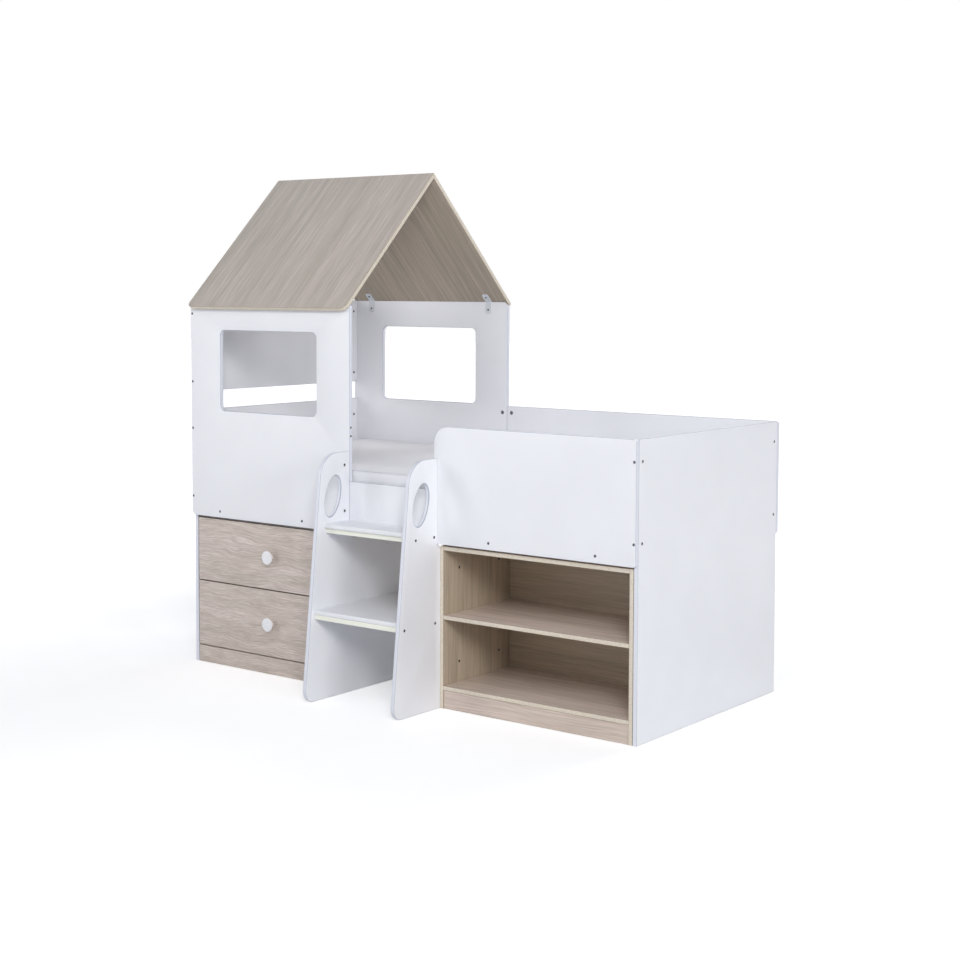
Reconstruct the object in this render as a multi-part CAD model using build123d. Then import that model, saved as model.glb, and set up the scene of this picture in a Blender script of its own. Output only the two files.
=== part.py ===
from build123d import *
import math
import os

# A child's mid sleeper cabin bed in millimetres, +Z up. The parts are drawn in a bench frame:
# X from the outer face of the head end, Y from the front edges of the end panels towards the
# wall, Z from the floor. They are saved with the origin under the middle of the whole bed.

# Driving dimensions of the bed
LENGTH = 1980.0             # over both end panels
DEPTH = 910.0               # width of the end panels, for a 900 wide mattress
BOARD = 15.0                # every flat board
HOUSE_LENGTH = 800.0        # the little house at the head
ACCESS_END = 1180.0         # the way in runs from the house to here
DECK_BASE = 562.0           # lower edge of every side panel and bearer
END_TOP = 960.0             # end panels and guards
CORNER_RADIUS = 20.0        # house panels
GUARD_RADIUS = 58.0         # the guard's corner beside the ladder
SMALL_RADIUS = 10.0         # other guard corners
RAIL_TOP = 745.0            # low rail across the way in

# House and roof
WALL_TOP = 1370.0           # inner edge of the walls, under the roof
HEAD_SLOT = 70.0            # open slot between the two head boards
WINDOW_WIDTH = 485.0
WINDOW_BASE = 964.0
WINDOW_TOP = 1264.0
WINDOW_RADIUS = 22.0
ROOF_SLOPE = 700.0          # front roof board from ridge to eaves
ROOF_INSET = 2.5            # roof board ends from the house ends
ROOF_RADIUS = 25.0          # eaves corners
RIDGE_Y = DEPTH / 2
RIDGE_Z = WALL_TOP + DEPTH / 2 + BOARD * math.sqrt(2)

# Ladder: two cheeks that run on under the bed, and two treads
CHEEK_TOP = 852.0
CHEEK_BACK = 390.0          # rear edge under the bed
CHEEK_SHELF = 547.0         # top edge under the bed
CHEEK_LEAN = math.radians(6)
CHEEK_FOOT = 245.3          # front line at the floor, before rounding
CHEEK_TOP_RADIUS = 85.0
CHEEK_FOOT_RADIUS = 40.0
GRIP_Y = -101.0             # oval hand hole
GRIP_Z = 702.0
GRIP_HALF_HEIGHT = 73.0
GRIP_HALF_WIDTH = 37.0
GRIP_TILT = 16.0
BATTEN = 18.0
UPPER_TREAD_FRONT = -147.5
LOWER_TREAD_FRONT = -200.0
TREAD_NOSE = 3.0            # rounding of a tread's front edge
UPPER_BOLTS = (-128.5, -32.0)
LOWER_BOLTS = (-187.0, -26.0)
UPPER_BOLT_Z = 587.0
LOWER_BOLT_Z = 294.5

# Storage units under the bed
UNIT_HEIGHT = 555.0
UNIT_DEPTH = 390.0
PLINTH = 63.0
SHELF_BASE = 305.0
PLINTH_INSET = 3.0          # bookcase plinth behind the front edges
CHEST_LEFT = 17.0
BOOKCASE_GAP = 1.0          # beside the foot end
FRONT_INSET = 2.0           # drawer front ends from the chest's left side
FRONT_RIGHT = 781.0
UPPER_FRONT = (314.5, 552.5)
LOWER_FRONT = (66.0, 311.5)
KNOB_Z = {"upper": 436.0, "lower": 188.0}

# Drawer boxes and their roller runners
BOX_BASE = {"upper": 345.0, "lower": 102.0}
BOX_HEIGHT = 150.0
BOX_LENGTH = 340.0
BOX_BOARD = 12.0
BOX_BOTTOM = 4.0
GROOVE = 5.0
RUNNER_ROOM = 12.5          # between chest side and drawer box
RUNNER_STEEL = 1.2
RUNNER_START = 1.0          # runners behind the drawer front
CHANNEL_HALF = 9.2
CHANNEL_DROP = 0.6          # channel below the drawer's steel angle
CHANNEL_GAP = 1.5           # channel from the drawer box
CHANNEL_MOUTH = 20.0        # open stretch at its front, where the drawer's roller drops in
ROLLER_RADIUS = 7.95
ROLLER_END_GAP = 1.0        # roller from the end of its runner
ROLLER_SIDE_GAP = 2.0
ROLLER_AXLE_RADIUS = 2.5
ANGLE_FOOT = 10.0           # steel angle under the drawer box
ANGLE_WALL = 14.0           # steel angle up its side
TAB_HALF = 5.0              # tab that carries the drawer's roller
TAB_DROP = 4.0
RUNNING_GAP = 0.05

# Bed base and mattress
BEARER = (25.0, 70.0)
SLAT_COUNT = 14
SLAT_WIDTH = 70.0
SLAT_THICK = 15.0
SLAT_END_GAP = 3.0          # slat from the side panels
SLAT_MARGIN = 10.0          # first and last slat from the end panels
TAPE_WIDTH = 30.0
TAPE_THICK = 1.0
MATTRESS = (1900.0, 900.0, 150.0)
MATTRESS_BASE = 647.3
MATTRESS_CORNER = 40.0
CROWN_BASE = 0.965          # share of the thickness at which the crowned top starts
CROWN_EDGE = 22.0           # how far in from the widest outline it starts
CROWN_FLAT = (210.0, 170.0)  # where it is flat, in from the ends and the sides

# Fittings
HEAD_RADIUS = 4.75
HEAD_THICK = 3.0
HEAD_RECESS = 3.4
SOCKET_ACROSS = 4.0
SHANK_RADIUS = 3.0
BOLT_SHANK = 44.0
UNIT_SHANK = 21.0
BORE_GAP = 0.1
NUT_RADIUS = 5.0
NUT_LENGTH = 10.0
NUT_INSET = 22.0            # barrel nut from the edge of an end panel
CHEEK_NUT_INSET = 26.0
HOUSE_BOLTS = (634.0, 892.0, 1068.0, 1324.0)
GUARD_BOLTS = (634.0, 890.0)
BEARER_BOLTS = (150.0, 570.0, 1410.0, 1830.0)
BEARER_BOLT_Z = 585.0
CHEEK_BOLTS = (645.0, 806.0)
UNIT_SCREWS = ((87.0, 472.0), (313.0, 472.0), (87.0, 148.0), (313.0, 148.0))
DOWEL_RADIUS = 4.0
DOWEL_LENGTH = 30.0
DOWEL_IN_FACE = 10.0        # depth in the face of a board
TREAD_DOWEL_INSET = 40.0    # rear dowels of the lower tread from its back edge
UNIT_DOWEL_INSET = 60.0     # dowels of the storage units from front and back
RIDGE_DOWEL_SHARES = (0.12, 0.38, 0.62, 0.88)
CAM_RADIUS = 7.5
CAM_DEPTH = 12.0
CAM_OFFSET = 22.0
CAM_ROD_RADIUS = 3.5
CAM_LEVELS = (616.0, 934.0)
DOWEL_LEVELS = (586.0, 904.0)
BRACKET_X = (98.0, 708.0)
BRACKET_WIDTH = 29.0
BRACKET_STEEL = 2.0
BRACKET_WALL_LEG = 49.0
BRACKET_ROOF_LEG = 40.0
BRACKET_BEND = 5.0          # outside of the bend
BRACKET_END_RADIUS = 9.0
BRACKET_SCREW = 16.0        # screw from the end of either leg
SCREW_HOLE = 1.9
SCREW_HEAD_RADIUS = 3.6
SCREW_HEAD = 2.0
SCREW_SHANK_RADIUS = 1.8
SCREW_LENGTH = 12.0
KNOB_SCREW_RADIUS = 2.0
KNOB_SCREW_LENGTH = 24.0
KNOB_SCREW_HEAD = 2.4
KNOB_RADIUS = 25.0
KNOB_REACH = 25.0
KNOB_DISC = 8.0
KNOB_FOOT = 9.0             # stem radius at the drawer front
KNOB_WAIST = 7.0            # stem radius behind the disc
KNOB_EASE = 2.5             # easing of the disc's front rim
TOUCH = 0.01                # how near two measures are to count as the same

# Worked out from the above
FRONT_FACE = -BOARD
REAR_FACE = DEPTH + BOARD
DECK_TOP = DECK_BASE + BEARER[1]
FOOT_INNER = LENGTH - BOARD
LEFT_CHEEK = (HOUSE_LENGTH - BOARD, HOUSE_LENGTH)
RIGHT_CHEEK = (ACCESS_END, ACCESS_END + BOARD)
CHEST_RIGHT = LEFT_CHEEK[0]
BOOKCASE_LEFT = RIGHT_CHEEK[1]
BOOKCASE_RIGHT = FOOT_INNER - BOOKCASE_GAP
UNIT_BACK = UNIT_DEPTH - BOARD
ROOF_REACH = ROOF_SLOPE / math.sqrt(2)
CHEEK_REACH = CHEEK_FOOT - CHEEK_FOOT_RADIUS * (math.tan(CHEEK_LEAN) + 1 / math.cos(CHEEK_LEAN) - 1)
ORIGIN = (LENGTH / 2, (RIDGE_Y + ROOF_REACH - CHEEK_REACH) / 2, 0)
AXIS = {"x": Vector(1, 0, 0), "y": Vector(0, 1, 0), "z": Vector(0, 0, 1)}
SLOPE_DOWN_BACK = Vector(0, 1, -1).normalized()
SLOPE_DOWN_FRONT = Vector(0, -1, -1).normalized()

nodes = {}
bores = []


def node(name, *solids):
    """Keep the solids of one sub-part under the name of its node."""
    nodes.setdefault(name, []).extend(solids)


def block(x, y, z):
    """A box between three pairs of limits."""
    size = [limits[1] - limits[0] for limits in (x, y, z)]
    middle = [sum(limits) / 2 for limits in (x, y, z)]
    return Pos(*middle) * Box(*size)


def rod(start, along, length, radius):
    """A round bar from a point along a direction."""
    plane = Plane(origin=Vector(*start), z_dir=along)
    return plane * Cylinder(radius, length, align=(Align.CENTER, Align.CENTER, Align.MIN))


def rounded(corners, radii):
    """A flat outline through corners, each rounded by its own radius."""
    shape = Polygon(*corners, align=None)
    for (across, up), radius in zip(corners, radii):
        if radius:
            corner = min(shape.vertices(), key=lambda v: (v.X - across) ** 2 + (v.Y - up) ** 2)
            shape = fillet(corner, radius)
    return shape


def upright(outline, y):
    """An outline drawn in X and Z, one board thick, with its rear face at y."""
    return extrude(Plane.XZ.offset(-y) * outline, amount=BOARD)


def meets(one, other):
    """Whether two bounding boxes share some room."""
    return all(getattr(one.min, a) < getattr(other.max, a) and getattr(other.min, a) < getattr(one.max, a)
               for a in "XYZ")


def drilled(board):
    """A board with every fitting's bore that reaches it cut out."""
    room = board.bounding_box()
    tools = [bore for bore in bores if meets(room, bore.bounding_box())]
    return (board - tools).solid() if tools else board


def socket_bolt(face, along, shank):
    """A bolt with a hexagon socket, its head sunk just under the face it goes in at."""
    seat = Vector(*face) + along * (HEAD_RECESS - HEAD_THICK)
    head = rod(seat, along, HEAD_THICK, HEAD_RADIUS)
    hexagon = RegularPolygon(SOCKET_ACROSS / 2, 6, major_radius=False)
    socket = extrude(Plane(origin=seat, z_dir=along) * hexagon, amount=HEAD_THICK / 2)
    return head + rod(seat + along * HEAD_THICK, along, shank, SHANK_RADIUS) - socket


def bolt_bore(face, along, shank):
    """The recess and clearance hole for a socket bolt."""
    start = Vector(*face)
    recess = rod(start, along, HEAD_RECESS, HEAD_RADIUS + BORE_GAP)
    return recess + rod(start, along, HEAD_RECESS + shank + BORE_GAP, SHANK_RADIUS + BORE_GAP)


def place_bolt(face, along):
    node("frame_bolts", socket_bolt(face, along, BOLT_SHANK))
    bores.append(bolt_bore(face, along, BOLT_SHANK))


def place_nut(face, along, bolt_axis):
    """A barrel nut in a blind hole, so that its thread meets the middle of the board."""
    depth = BOARD / 2 + NUT_LENGTH / 2
    start = Vector(*face) + along * (depth - NUT_LENGTH)
    middle = start + along * (NUT_LENGTH / 2)
    thread = rod(middle - bolt_axis * NUT_RADIUS, bolt_axis, 2 * NUT_RADIUS, SHANK_RADIUS + BORE_GAP / 2)
    node("barrel_nuts", rod(start, along, NUT_LENGTH, NUT_RADIUS) - thread)
    bores.append(rod(face, along, depth + BORE_GAP, NUT_RADIUS + BORE_GAP))


def place_dowel(start, along):
    node("joint_dowels", rod(start, along, DOWEL_LENGTH, DOWEL_RADIUS))
    bores.append(rod(start, along, DOWEL_LENGTH, DOWEL_RADIUS))


def place_cam_joint(x, inner_face, inward, level, fitted=(True, True)):
    """A double cam connector across a butt joint, or its empty bores on one side of the joint.

    Only the cams and the rod of a joint that is fitted on both sides are there.
    """
    middle = inner_face + inward * BOARD / 2
    into_board = AXIS["y"] * inward
    for side, present in zip((-1, 1), fitted):
        if not present:
            continue
        cam = rod((x + side * CAM_OFFSET, inner_face, level), into_board, CAM_DEPTH, CAM_RADIUS)
        bores.append(cam)
        bores.append(rod((x, middle, level), AXIS["x"] * side, CAM_OFFSET, CAM_ROD_RADIUS + BORE_GAP / 2))
        if all(fitted):
            node("joint_cams", cam)
    if all(fitted):
        reach = CAM_OFFSET - CAM_RADIUS
        node("joint_cams", rod((x - reach, middle, level), AXIS["x"], 2 * reach, CAM_ROD_RADIUS))


def place_empty_dowel_hole(x, y, level, side):
    bores.append(rod((x, y, level), AXIS["x"] * side, DOWEL_LENGTH / 2, DOWEL_RADIUS))


def fit_panel_fastenings():
    """Bolts through the side panels into the end panels, the bearers and the ladder cheeks."""
    for face, inward in ((FRONT_FACE, 1), (REAR_FACE, -1)):
        along = AXIS["y"] * inward
        edge = 0 if inward > 0 else DEPTH
        for z in HOUSE_BOLTS:
            place_bolt((BOARD / 2, face, z), along)
            place_nut((BOARD, edge + inward * NUT_INSET, z), -AXIS["x"], along)
        for z in GUARD_BOLTS:
            place_bolt((LENGTH - BOARD / 2, face, z), along)
            place_nut((LENGTH, edge + inward * NUT_INSET, z), -AXIS["x"], along)
        for x in BEARER_BOLTS:
            place_bolt((x, face, BEARER_BOLT_Z), along)
            place_tee_nut(x, edge + inward * BEARER[0], -along)
    for cheek in (LEFT_CHEEK, RIGHT_CHEEK):
        for z in CHEEK_BOLTS:
            place_bolt((sum(cheek) / 2, 0, z), -AXIS["y"])
            place_nut((cheek[1], FRONT_FACE - CHEEK_NUT_INSET, z), -AXIS["x"], -AXIS["y"])


def place_tee_nut(x, y, into_bearer):
    """A flanged nut pressed into the inner face of a bearer."""
    flange_radius, flange, barrel_radius, barrel = 8.5, 1.5, 4.5, 9.0
    start = (x, y, BEARER_BOLT_Z)
    nut = rod(start, into_bearer, barrel, barrel_radius) + rod(start, -into_bearer, flange, flange_radius)
    thread_start = Vector(*start) - into_bearer * flange
    thread = rod(thread_start, into_bearer, flange + barrel, SHANK_RADIUS + BORE_GAP / 2)
    node("tee_nuts", nut - thread)
    bores.append(rod(start, into_bearer, barrel, barrel_radius))


def fit_joint_fastenings():
    """Cams and dowels that join panels end to end, and the same bores left open above the low rail."""
    front, rear = -BOARD / 2, DEPTH + BOARD / 2
    for level in CAM_LEVELS:
        place_cam_joint(HOUSE_LENGTH, DEPTH, 1, level)
    for level in DOWEL_LEVELS:
        place_dowel((HOUSE_LENGTH - DOWEL_LENGTH / 2, rear, level), AXIS["x"])
    for x, fitted, side in ((HOUSE_LENGTH, (True, False), -1), (ACCESS_END, (False, True), 1)):
        place_cam_joint(x, 0, -1, CAM_LEVELS[0])
        place_dowel((x - DOWEL_LENGTH / 2, front, DOWEL_LEVELS[0]), AXIS["x"])
        place_cam_joint(x, 0, -1, CAM_LEVELS[1], fitted)
        place_empty_dowel_hole(x, front, DOWEL_LEVELS[1], side)


def fit_tread_fastenings():
    """Bolts through the ladder cheeks into the battens, and dowels under the back of the lower shelf."""
    for y_pair, z in ((UPPER_BOLTS, UPPER_BOLT_Z), (LOWER_BOLTS, LOWER_BOLT_Z)):
        for y in y_pair:
            place_bolt((LEFT_CHEEK[0], y, z), AXIS["x"])
            place_bolt((RIGHT_CHEEK[1], y, z), -AXIS["x"])
    middle = LOWER_BOLT_Z + BATTEN / 2 + BOARD / 2
    for y in (UNIT_DEPTH / 2, UNIT_DEPTH - TREAD_DOWEL_INSET):
        place_dowel((LEFT_CHEEK[1] - DOWEL_IN_FACE, y, middle), AXIS["x"])
        place_dowel((RIGHT_CHEEK[0] + DOWEL_IN_FACE, y, middle), -AXIS["x"])


def fit_unit_fastenings():
    """Screws that tie both storage units to the ladder cheeks, and the dowels of the units."""
    for y, z in UNIT_SCREWS:
        for face, along in ((CHEST_RIGHT - BOARD, AXIS["x"]), (BOOKCASE_LEFT + BOARD, -AXIS["x"])):
            node("unit_screws", socket_bolt((face, y, z), along, UNIT_SHANK))
            bores.append(bolt_bore((face, y, z), along, UNIT_SHANK))
    chest_levels = (PLINTH, UNIT_HEIGHT - BOARD)
    bookcase_levels = (PLINTH, SHELF_BASE, UNIT_HEIGHT - BOARD)
    for left, right, levels in ((CHEST_LEFT, CHEST_RIGHT, chest_levels),
                                (BOOKCASE_LEFT, BOOKCASE_RIGHT, bookcase_levels)):
        for level in levels:
            for y in (UNIT_DOWEL_INSET, UNIT_BACK - UNIT_DOWEL_INSET):
                middle = level + BOARD / 2
                place_dowel((left + BOARD - DOWEL_IN_FACE, y, middle), AXIS["x"])
                place_dowel((right - BOARD + DOWEL_IN_FACE, y, middle), -AXIS["x"])


def fit_ridge_dowels():
    """Dowels from the front roof board into the top end of the rear one."""
    ridge = Vector(0, RIDGE_Y, RIDGE_Z)
    start = ridge + SLOPE_DOWN_FRONT * (BOARD / 2) + SLOPE_DOWN_BACK * (BOARD - DOWEL_IN_FACE)
    for share in RIDGE_DOWEL_SHARES:
        place_dowel(start + Vector(HOUSE_LENGTH * share, 0, 0), SLOPE_DOWN_BACK)


def end_panels():
    """Boards across the bed: both ends to the floor, and the upper board of the house."""
    node("head_end_panel", drilled(block((0, BOARD), (0, DEPTH), (0, END_TOP))))
    node("head_end_upper_board", drilled(block((0, BOARD), (0, DEPTH), (END_TOP + HEAD_SLOT, WALL_TOP - 1))))
    node("foot_end_panel", drilled(block((FOOT_INNER, LENGTH), (0, DEPTH), (0, END_TOP))))


def house_panel(rear):
    """A house wall with a round-cornered window and its top edge cut to the roof's slope."""
    corners = [(0, DECK_BASE), (HOUSE_LENGTH, DECK_BASE), (HOUSE_LENGTH, WALL_TOP), (0, WALL_TOP)]
    window_left = (HOUSE_LENGTH - WINDOW_WIDTH) / 2
    window = [(window_left, WINDOW_BASE), (HOUSE_LENGTH - window_left, WINDOW_BASE),
              (HOUSE_LENGTH - window_left, WINDOW_TOP), (window_left, WINDOW_TOP)]
    outline = rounded(corners, [CORNER_RADIUS] * 4) - rounded(window, [WINDOW_RADIUS] * 4)
    panel = upright(outline, REAR_FACE if rear else 0)
    outer, inner = (REAR_FACE, DEPTH) if rear else (FRONT_FACE, 0)
    mitre = Polygon((outer, WALL_TOP - BOARD), (inner, WALL_TOP), (outer, WALL_TOP), align=None)
    mitre = extrude(Plane.YZ * mitre, amount=HOUSE_LENGTH, dir=(1, 0, 0))
    return drilled((panel - mitre).solid())


def side_panels():
    """House walls, guards and the low rail across the way in."""
    node("house_front_panel", house_panel(rear=False))
    node("house_rear_panel", house_panel(rear=True))
    guard = [(ACCESS_END, DECK_BASE), (LENGTH, DECK_BASE), (LENGTH, END_TOP), (ACCESS_END, END_TOP)]
    radii = [SMALL_RADIUS, SMALL_RADIUS, SMALL_RADIUS, GUARD_RADIUS]
    node("front_guard_panel", drilled(upright(rounded(guard, radii), 0)))
    guard = [(HOUSE_LENGTH, DECK_BASE), (LENGTH, DECK_BASE), (LENGTH, END_TOP), (HOUSE_LENGTH, END_TOP)]
    node("rear_guard_panel", drilled(upright(rounded(guard, [SMALL_RADIUS] * 4), REAR_FACE)))
    node("access_rail", drilled(block((HOUSE_LENGTH, ACCESS_END), (FRONT_FACE, 0), (DECK_BASE, RAIL_TOP))))


def roof_board(length, skipped):
    """A roof board drawn flat, ridge end at y = -skipped, eaves at y = -length, eaves corners rounded."""
    left, right = ROOF_INSET, HOUSE_LENGTH - ROOF_INSET
    corners = [(left, -length), (right, -length), (right, -skipped), (left, -skipped)]
    return extrude(rounded(corners, [ROOF_RADIUS, ROOF_RADIUS, 0, 0]), amount=-BOARD)


def roof():
    """Two boards that meet square at the ridge: the rear board butts under the front one."""
    front_plane = Plane(origin=(0, RIDGE_Y, RIDGE_Z), x_dir=(1, 0, 0), z_dir=(0, -1, 1))
    node("roof_front_board", drilled((front_plane * roof_board(ROOF_SLOPE, 0)).solid()))
    rear = mirror(front_plane * roof_board(ROOF_SLOPE, BOARD), about=Plane.XZ.offset(-RIDGE_Y))
    node("roof_rear_board", drilled(rear.solid()))


def roof_bracket(x):
    """A steel strap bent to the angle between a rear wall and the roof, at bench depth of the rear."""
    bend = Vector(DEPTH, WALL_TOP)
    up_slope = Vector(-1, 1).normalized()
    inner_bend = bend + Vector(-BRACKET_STEEL, BRACKET_STEEL * (1 - math.sqrt(2)))
    foot = bend - Vector(0, BRACKET_WALL_LEG)
    tip = bend + up_slope * BRACKET_ROOF_LEG
    tip_inner = tip + Vector(-1, -1).normalized() * BRACKET_STEEL
    corners = [(p.X, p.Y) for p in (foot, bend, tip, tip_inner, inner_bend, foot - Vector(BRACKET_STEEL, 0))]
    profile = rounded(corners, [0, BRACKET_BEND, 0, 0, BRACKET_BEND - BRACKET_STEEL, 0])
    strap = Pos(x - BRACKET_WIDTH / 2, 0, 0) * extrude(Plane.YZ * profile, amount=BRACKET_WIDTH)
    ends = [edge for edge in strap.edges() if abs(edge.length - BRACKET_STEEL) < TOUCH]
    strap = fillet(ends, BRACKET_END_RADIUS)
    holes = [rod(at - along * BRACKET_STEEL, along, 2 * BRACKET_STEEL, SCREW_HOLE)
             for at, along in bracket_screw_places(x)]
    return (strap - holes).solid()


def bracket_screw_places(x):
    """Where the two screws of a rear bracket go through it, and their directions."""
    wall = Vector(x, DEPTH, WALL_TOP - BRACKET_WALL_LEG + BRACKET_SCREW)
    up_slope = Vector(0, -1, 1).normalized()
    slope = Vector(x, DEPTH, WALL_TOP) + up_slope * (BRACKET_ROOF_LEG - BRACKET_SCREW)
    return [(wall, AXIS["y"]), (slope, Vector(0, 1, 1).normalized())]


def bracket_screw(at, along):
    """A pan-head wood screw that holds a bracket down."""
    head_base = at - along * BRACKET_STEEL
    head = rod(head_base - along * SCREW_HEAD, along, SCREW_HEAD, SCREW_HEAD_RADIUS)
    return head + rod(head_base, along, SCREW_LENGTH, SCREW_SHANK_RADIUS)


def roof_brackets():
    """Four brackets, two on either wall, and the pilot bores of their screws."""
    to_front = Plane.XZ.offset(-RIDGE_Y)
    for x in BRACKET_X:
        bracket = roof_bracket(x)
        node("roof_brackets", bracket, mirror(bracket, about=to_front).solid())
        for at, along in bracket_screw_places(x):
            screw = bracket_screw(at, along).solid()
            bore = rod(at, along, SCREW_LENGTH - BRACKET_STEEL + BORE_GAP, SCREW_SHANK_RADIUS + BORE_GAP / 2)
            node("bracket_screws", screw, mirror(screw, about=to_front).solid())
            bores.extend([bore, mirror(bore, about=to_front)])


def cheek_outline():
    """Ladder cheek in Y and Z: leaning front, round top, and a low part that runs on under the bed."""
    lean = math.tan(CHEEK_LEAN)
    top_front = -CHEEK_FOOT + CHEEK_TOP * lean
    body = [(-CHEEK_FOOT, 0), (FRONT_FACE, 0), (FRONT_FACE, CHEEK_TOP), (top_front, CHEEK_TOP)]
    outline = rounded(body, [CHEEK_FOOT_RADIUS, 0, 0, CHEEK_TOP_RADIUS])
    under_bed = Polygon((FRONT_FACE, 0), (CHEEK_BACK, 0), (CHEEK_BACK, CHEEK_SHELF),
                        (FRONT_FACE, CHEEK_SHELF), align=None)
    shoulder_radius = DECK_BASE - CHEEK_SHELF
    shoulder = Pos(FRONT_FACE, CHEEK_SHELF) * Circle(shoulder_radius)
    grip = Pos(GRIP_Y, GRIP_Z) * Rot(0, 0, -GRIP_TILT) * Ellipse(GRIP_HALF_WIDTH, GRIP_HALF_HEIGHT)
    return outline + under_bed + shoulder - grip


def ladder():
    """Cheeks, treads and the battens that carry the treads."""
    for name, cheek in (("ladder_cheek_left", LEFT_CHEEK), ("ladder_cheek_right", RIGHT_CHEEK)):
        board = Pos(cheek[0], 0, 0) * extrude(Plane.YZ * cheek_outline(), amount=BOARD)
        node(name, drilled(board.solid()))
    between = (LEFT_CHEEK[1], RIGHT_CHEEK[0])
    for name, y_pair, z, front, back in (("upper", UPPER_BOLTS, UPPER_BOLT_Z, UPPER_TREAD_FRONT, FRONT_FACE),
                                         ("lower", LOWER_BOLTS, LOWER_BOLT_Z, LOWER_TREAD_FRONT, UNIT_DEPTH)):
        top = z + BATTEN / 2
        tread = block(between, (front, back), (top, top + BOARD))
        nose = [edge for edge in tread.edges()
                if abs(edge.center().Y - front) < TOUCH and edge.length > 2 * BOARD]
        node(f"{name}_tread", drilled(fillet(nose, TREAD_NOSE)))
        front_batten, rear_batten = [
            drilled(block(between, (y - BATTEN / 2, y + BATTEN / 2), (z - BATTEN / 2, top))) for y in y_pair]
        node(f"{name}_front_batten", front_batten)
        node("tread_rear_battens", rear_batten)


def chest():
    """Carcass of the two-drawer chest; its plinth is flush with the drawer fronts."""
    inner = (CHEST_LEFT + BOARD, CHEST_RIGHT - BOARD)
    depth = (BOARD, UNIT_BACK)
    side_room = (BOARD, UNIT_DEPTH), (0, UNIT_HEIGHT)
    node("chest_left_side", drilled(block((CHEST_LEFT, inner[0]), *side_room)))
    node("chest_right_side", drilled(block((inner[1], CHEST_RIGHT), *side_room)))
    node("chest_bottom", drilled(block(inner, depth, (PLINTH, PLINTH + BOARD))))
    node("chest_top", drilled(block(inner, depth, (UNIT_HEIGHT - BOARD, UNIT_HEIGHT))))
    node("chest_back", block(inner, (UNIT_BACK, UNIT_DEPTH), (0, UNIT_HEIGHT)))
    node("chest_plinth", block((CHEST_LEFT + FRONT_INSET, FRONT_RIGHT), (0, BOARD), (0, PLINTH)))


def bookcase():
    """Open bookcase with one shelf, a raised bottom and a set-back plinth."""
    inner = (BOOKCASE_LEFT + BOARD, BOOKCASE_RIGHT - BOARD)
    depth = (0, UNIT_BACK)
    side_room = (0, UNIT_DEPTH), (0, UNIT_HEIGHT)
    node("bookcase_left_side", drilled(block((BOOKCASE_LEFT, inner[0]), *side_room)))
    node("bookcase_right_side", drilled(block((inner[1], BOOKCASE_RIGHT), *side_room)))
    for name, level in (("bottom", PLINTH), ("shelf", SHELF_BASE), ("top", UNIT_HEIGHT - BOARD)):
        node(f"bookcase_{name}", drilled(block(inner, depth, (level, level + BOARD))))
    node("bookcase_back", block(inner, (UNIT_BACK, UNIT_DEPTH), (0, UNIT_HEIGHT)))
    node("bookcase_plinth", block(inner, (PLINTH_INSET, PLINTH_INSET + BOARD), (0, PLINTH)))


def mirrored_pair(solid):
    """A solid at the chest's left side and its mirror image at the right side."""
    middle = (CHEST_LEFT + CHEST_RIGHT) / 2
    return [solid, mirror(solid, about=Plane.YZ.offset(middle)).solid()]


def runner_level(drawer):
    """Height of the axis that a drawer's rear rollers run along."""
    return BOX_BASE[drawer] - RUNNER_STEEL - CHANNEL_DROP - CHANNEL_HALF


def cabinet_runner(drawer):
    """Fixed steel channel on the left side, open to the drawer, with a roller at its front end."""
    side = CHEST_LEFT + BOARD
    level = runner_level(drawer)
    length = (BOARD + RUNNER_START, BOARD + RUNNER_START + BOX_LENGTH)
    web = block((side, side + RUNNER_STEEL), length, (level - CHANNEL_HALF, level + CHANNEL_HALF))
    lip = (side + RUNNER_STEEL, side + RUNNER_ROOM - CHANNEL_GAP)
    lower = block(lip, length, (level - CHANNEL_HALF, level - CHANNEL_HALF + RUNNER_STEEL))
    upper = block(lip, (length[0] + CHANNEL_MOUTH, length[1]),
                  (level + CHANNEL_HALF - RUNNER_STEEL, level + CHANNEL_HALF))
    roller_top = BOX_BASE[drawer] - RUNNER_STEEL - RUNNING_GAP
    axle = (lip[0], length[0] + ROLLER_RADIUS + ROLLER_END_GAP, roller_top - ROLLER_RADIUS)
    roller = rod(axle, AXIS["x"], lip[1] - lip[0], ROLLER_RADIUS)
    return (web + lower + upper + roller).solid()


def drawer_runner(drawer):
    """Steel angle under the left edge of a drawer box, with a roller at its rear end."""
    side = CHEST_LEFT + BOARD
    box_left = side + RUNNER_ROOM
    base = BOX_BASE[drawer]
    level = runner_level(drawer)
    length = (BOARD + RUNNER_START, BOARD + BOX_LENGTH)
    outer = side + ROLLER_SIDE_GAP
    leg = block((outer, box_left + ANGLE_FOOT), length, (base - RUNNER_STEEL, base))
    wall = block((box_left - RUNNER_STEEL, box_left), length, (base - RUNNER_STEEL, base + ANGLE_WALL))
    axle_y = length[1] - ROLLER_RADIUS - ROLLER_END_GAP
    tab = block((box_left - RUNNER_STEEL, box_left), (axle_y - TAB_HALF, axle_y + TAB_HALF),
                (level - TAB_DROP, base))
    roller = rod((outer, axle_y, level), AXIS["x"], RUNNER_ROOM - 2 * ROLLER_SIDE_GAP, ROLLER_RADIUS)
    axle = rod((outer, axle_y, level), AXIS["x"], RUNNER_ROOM - ROLLER_SIDE_GAP, ROLLER_AXLE_RADIUS)
    return (leg + wall + tab + roller + axle).solid()


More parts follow.
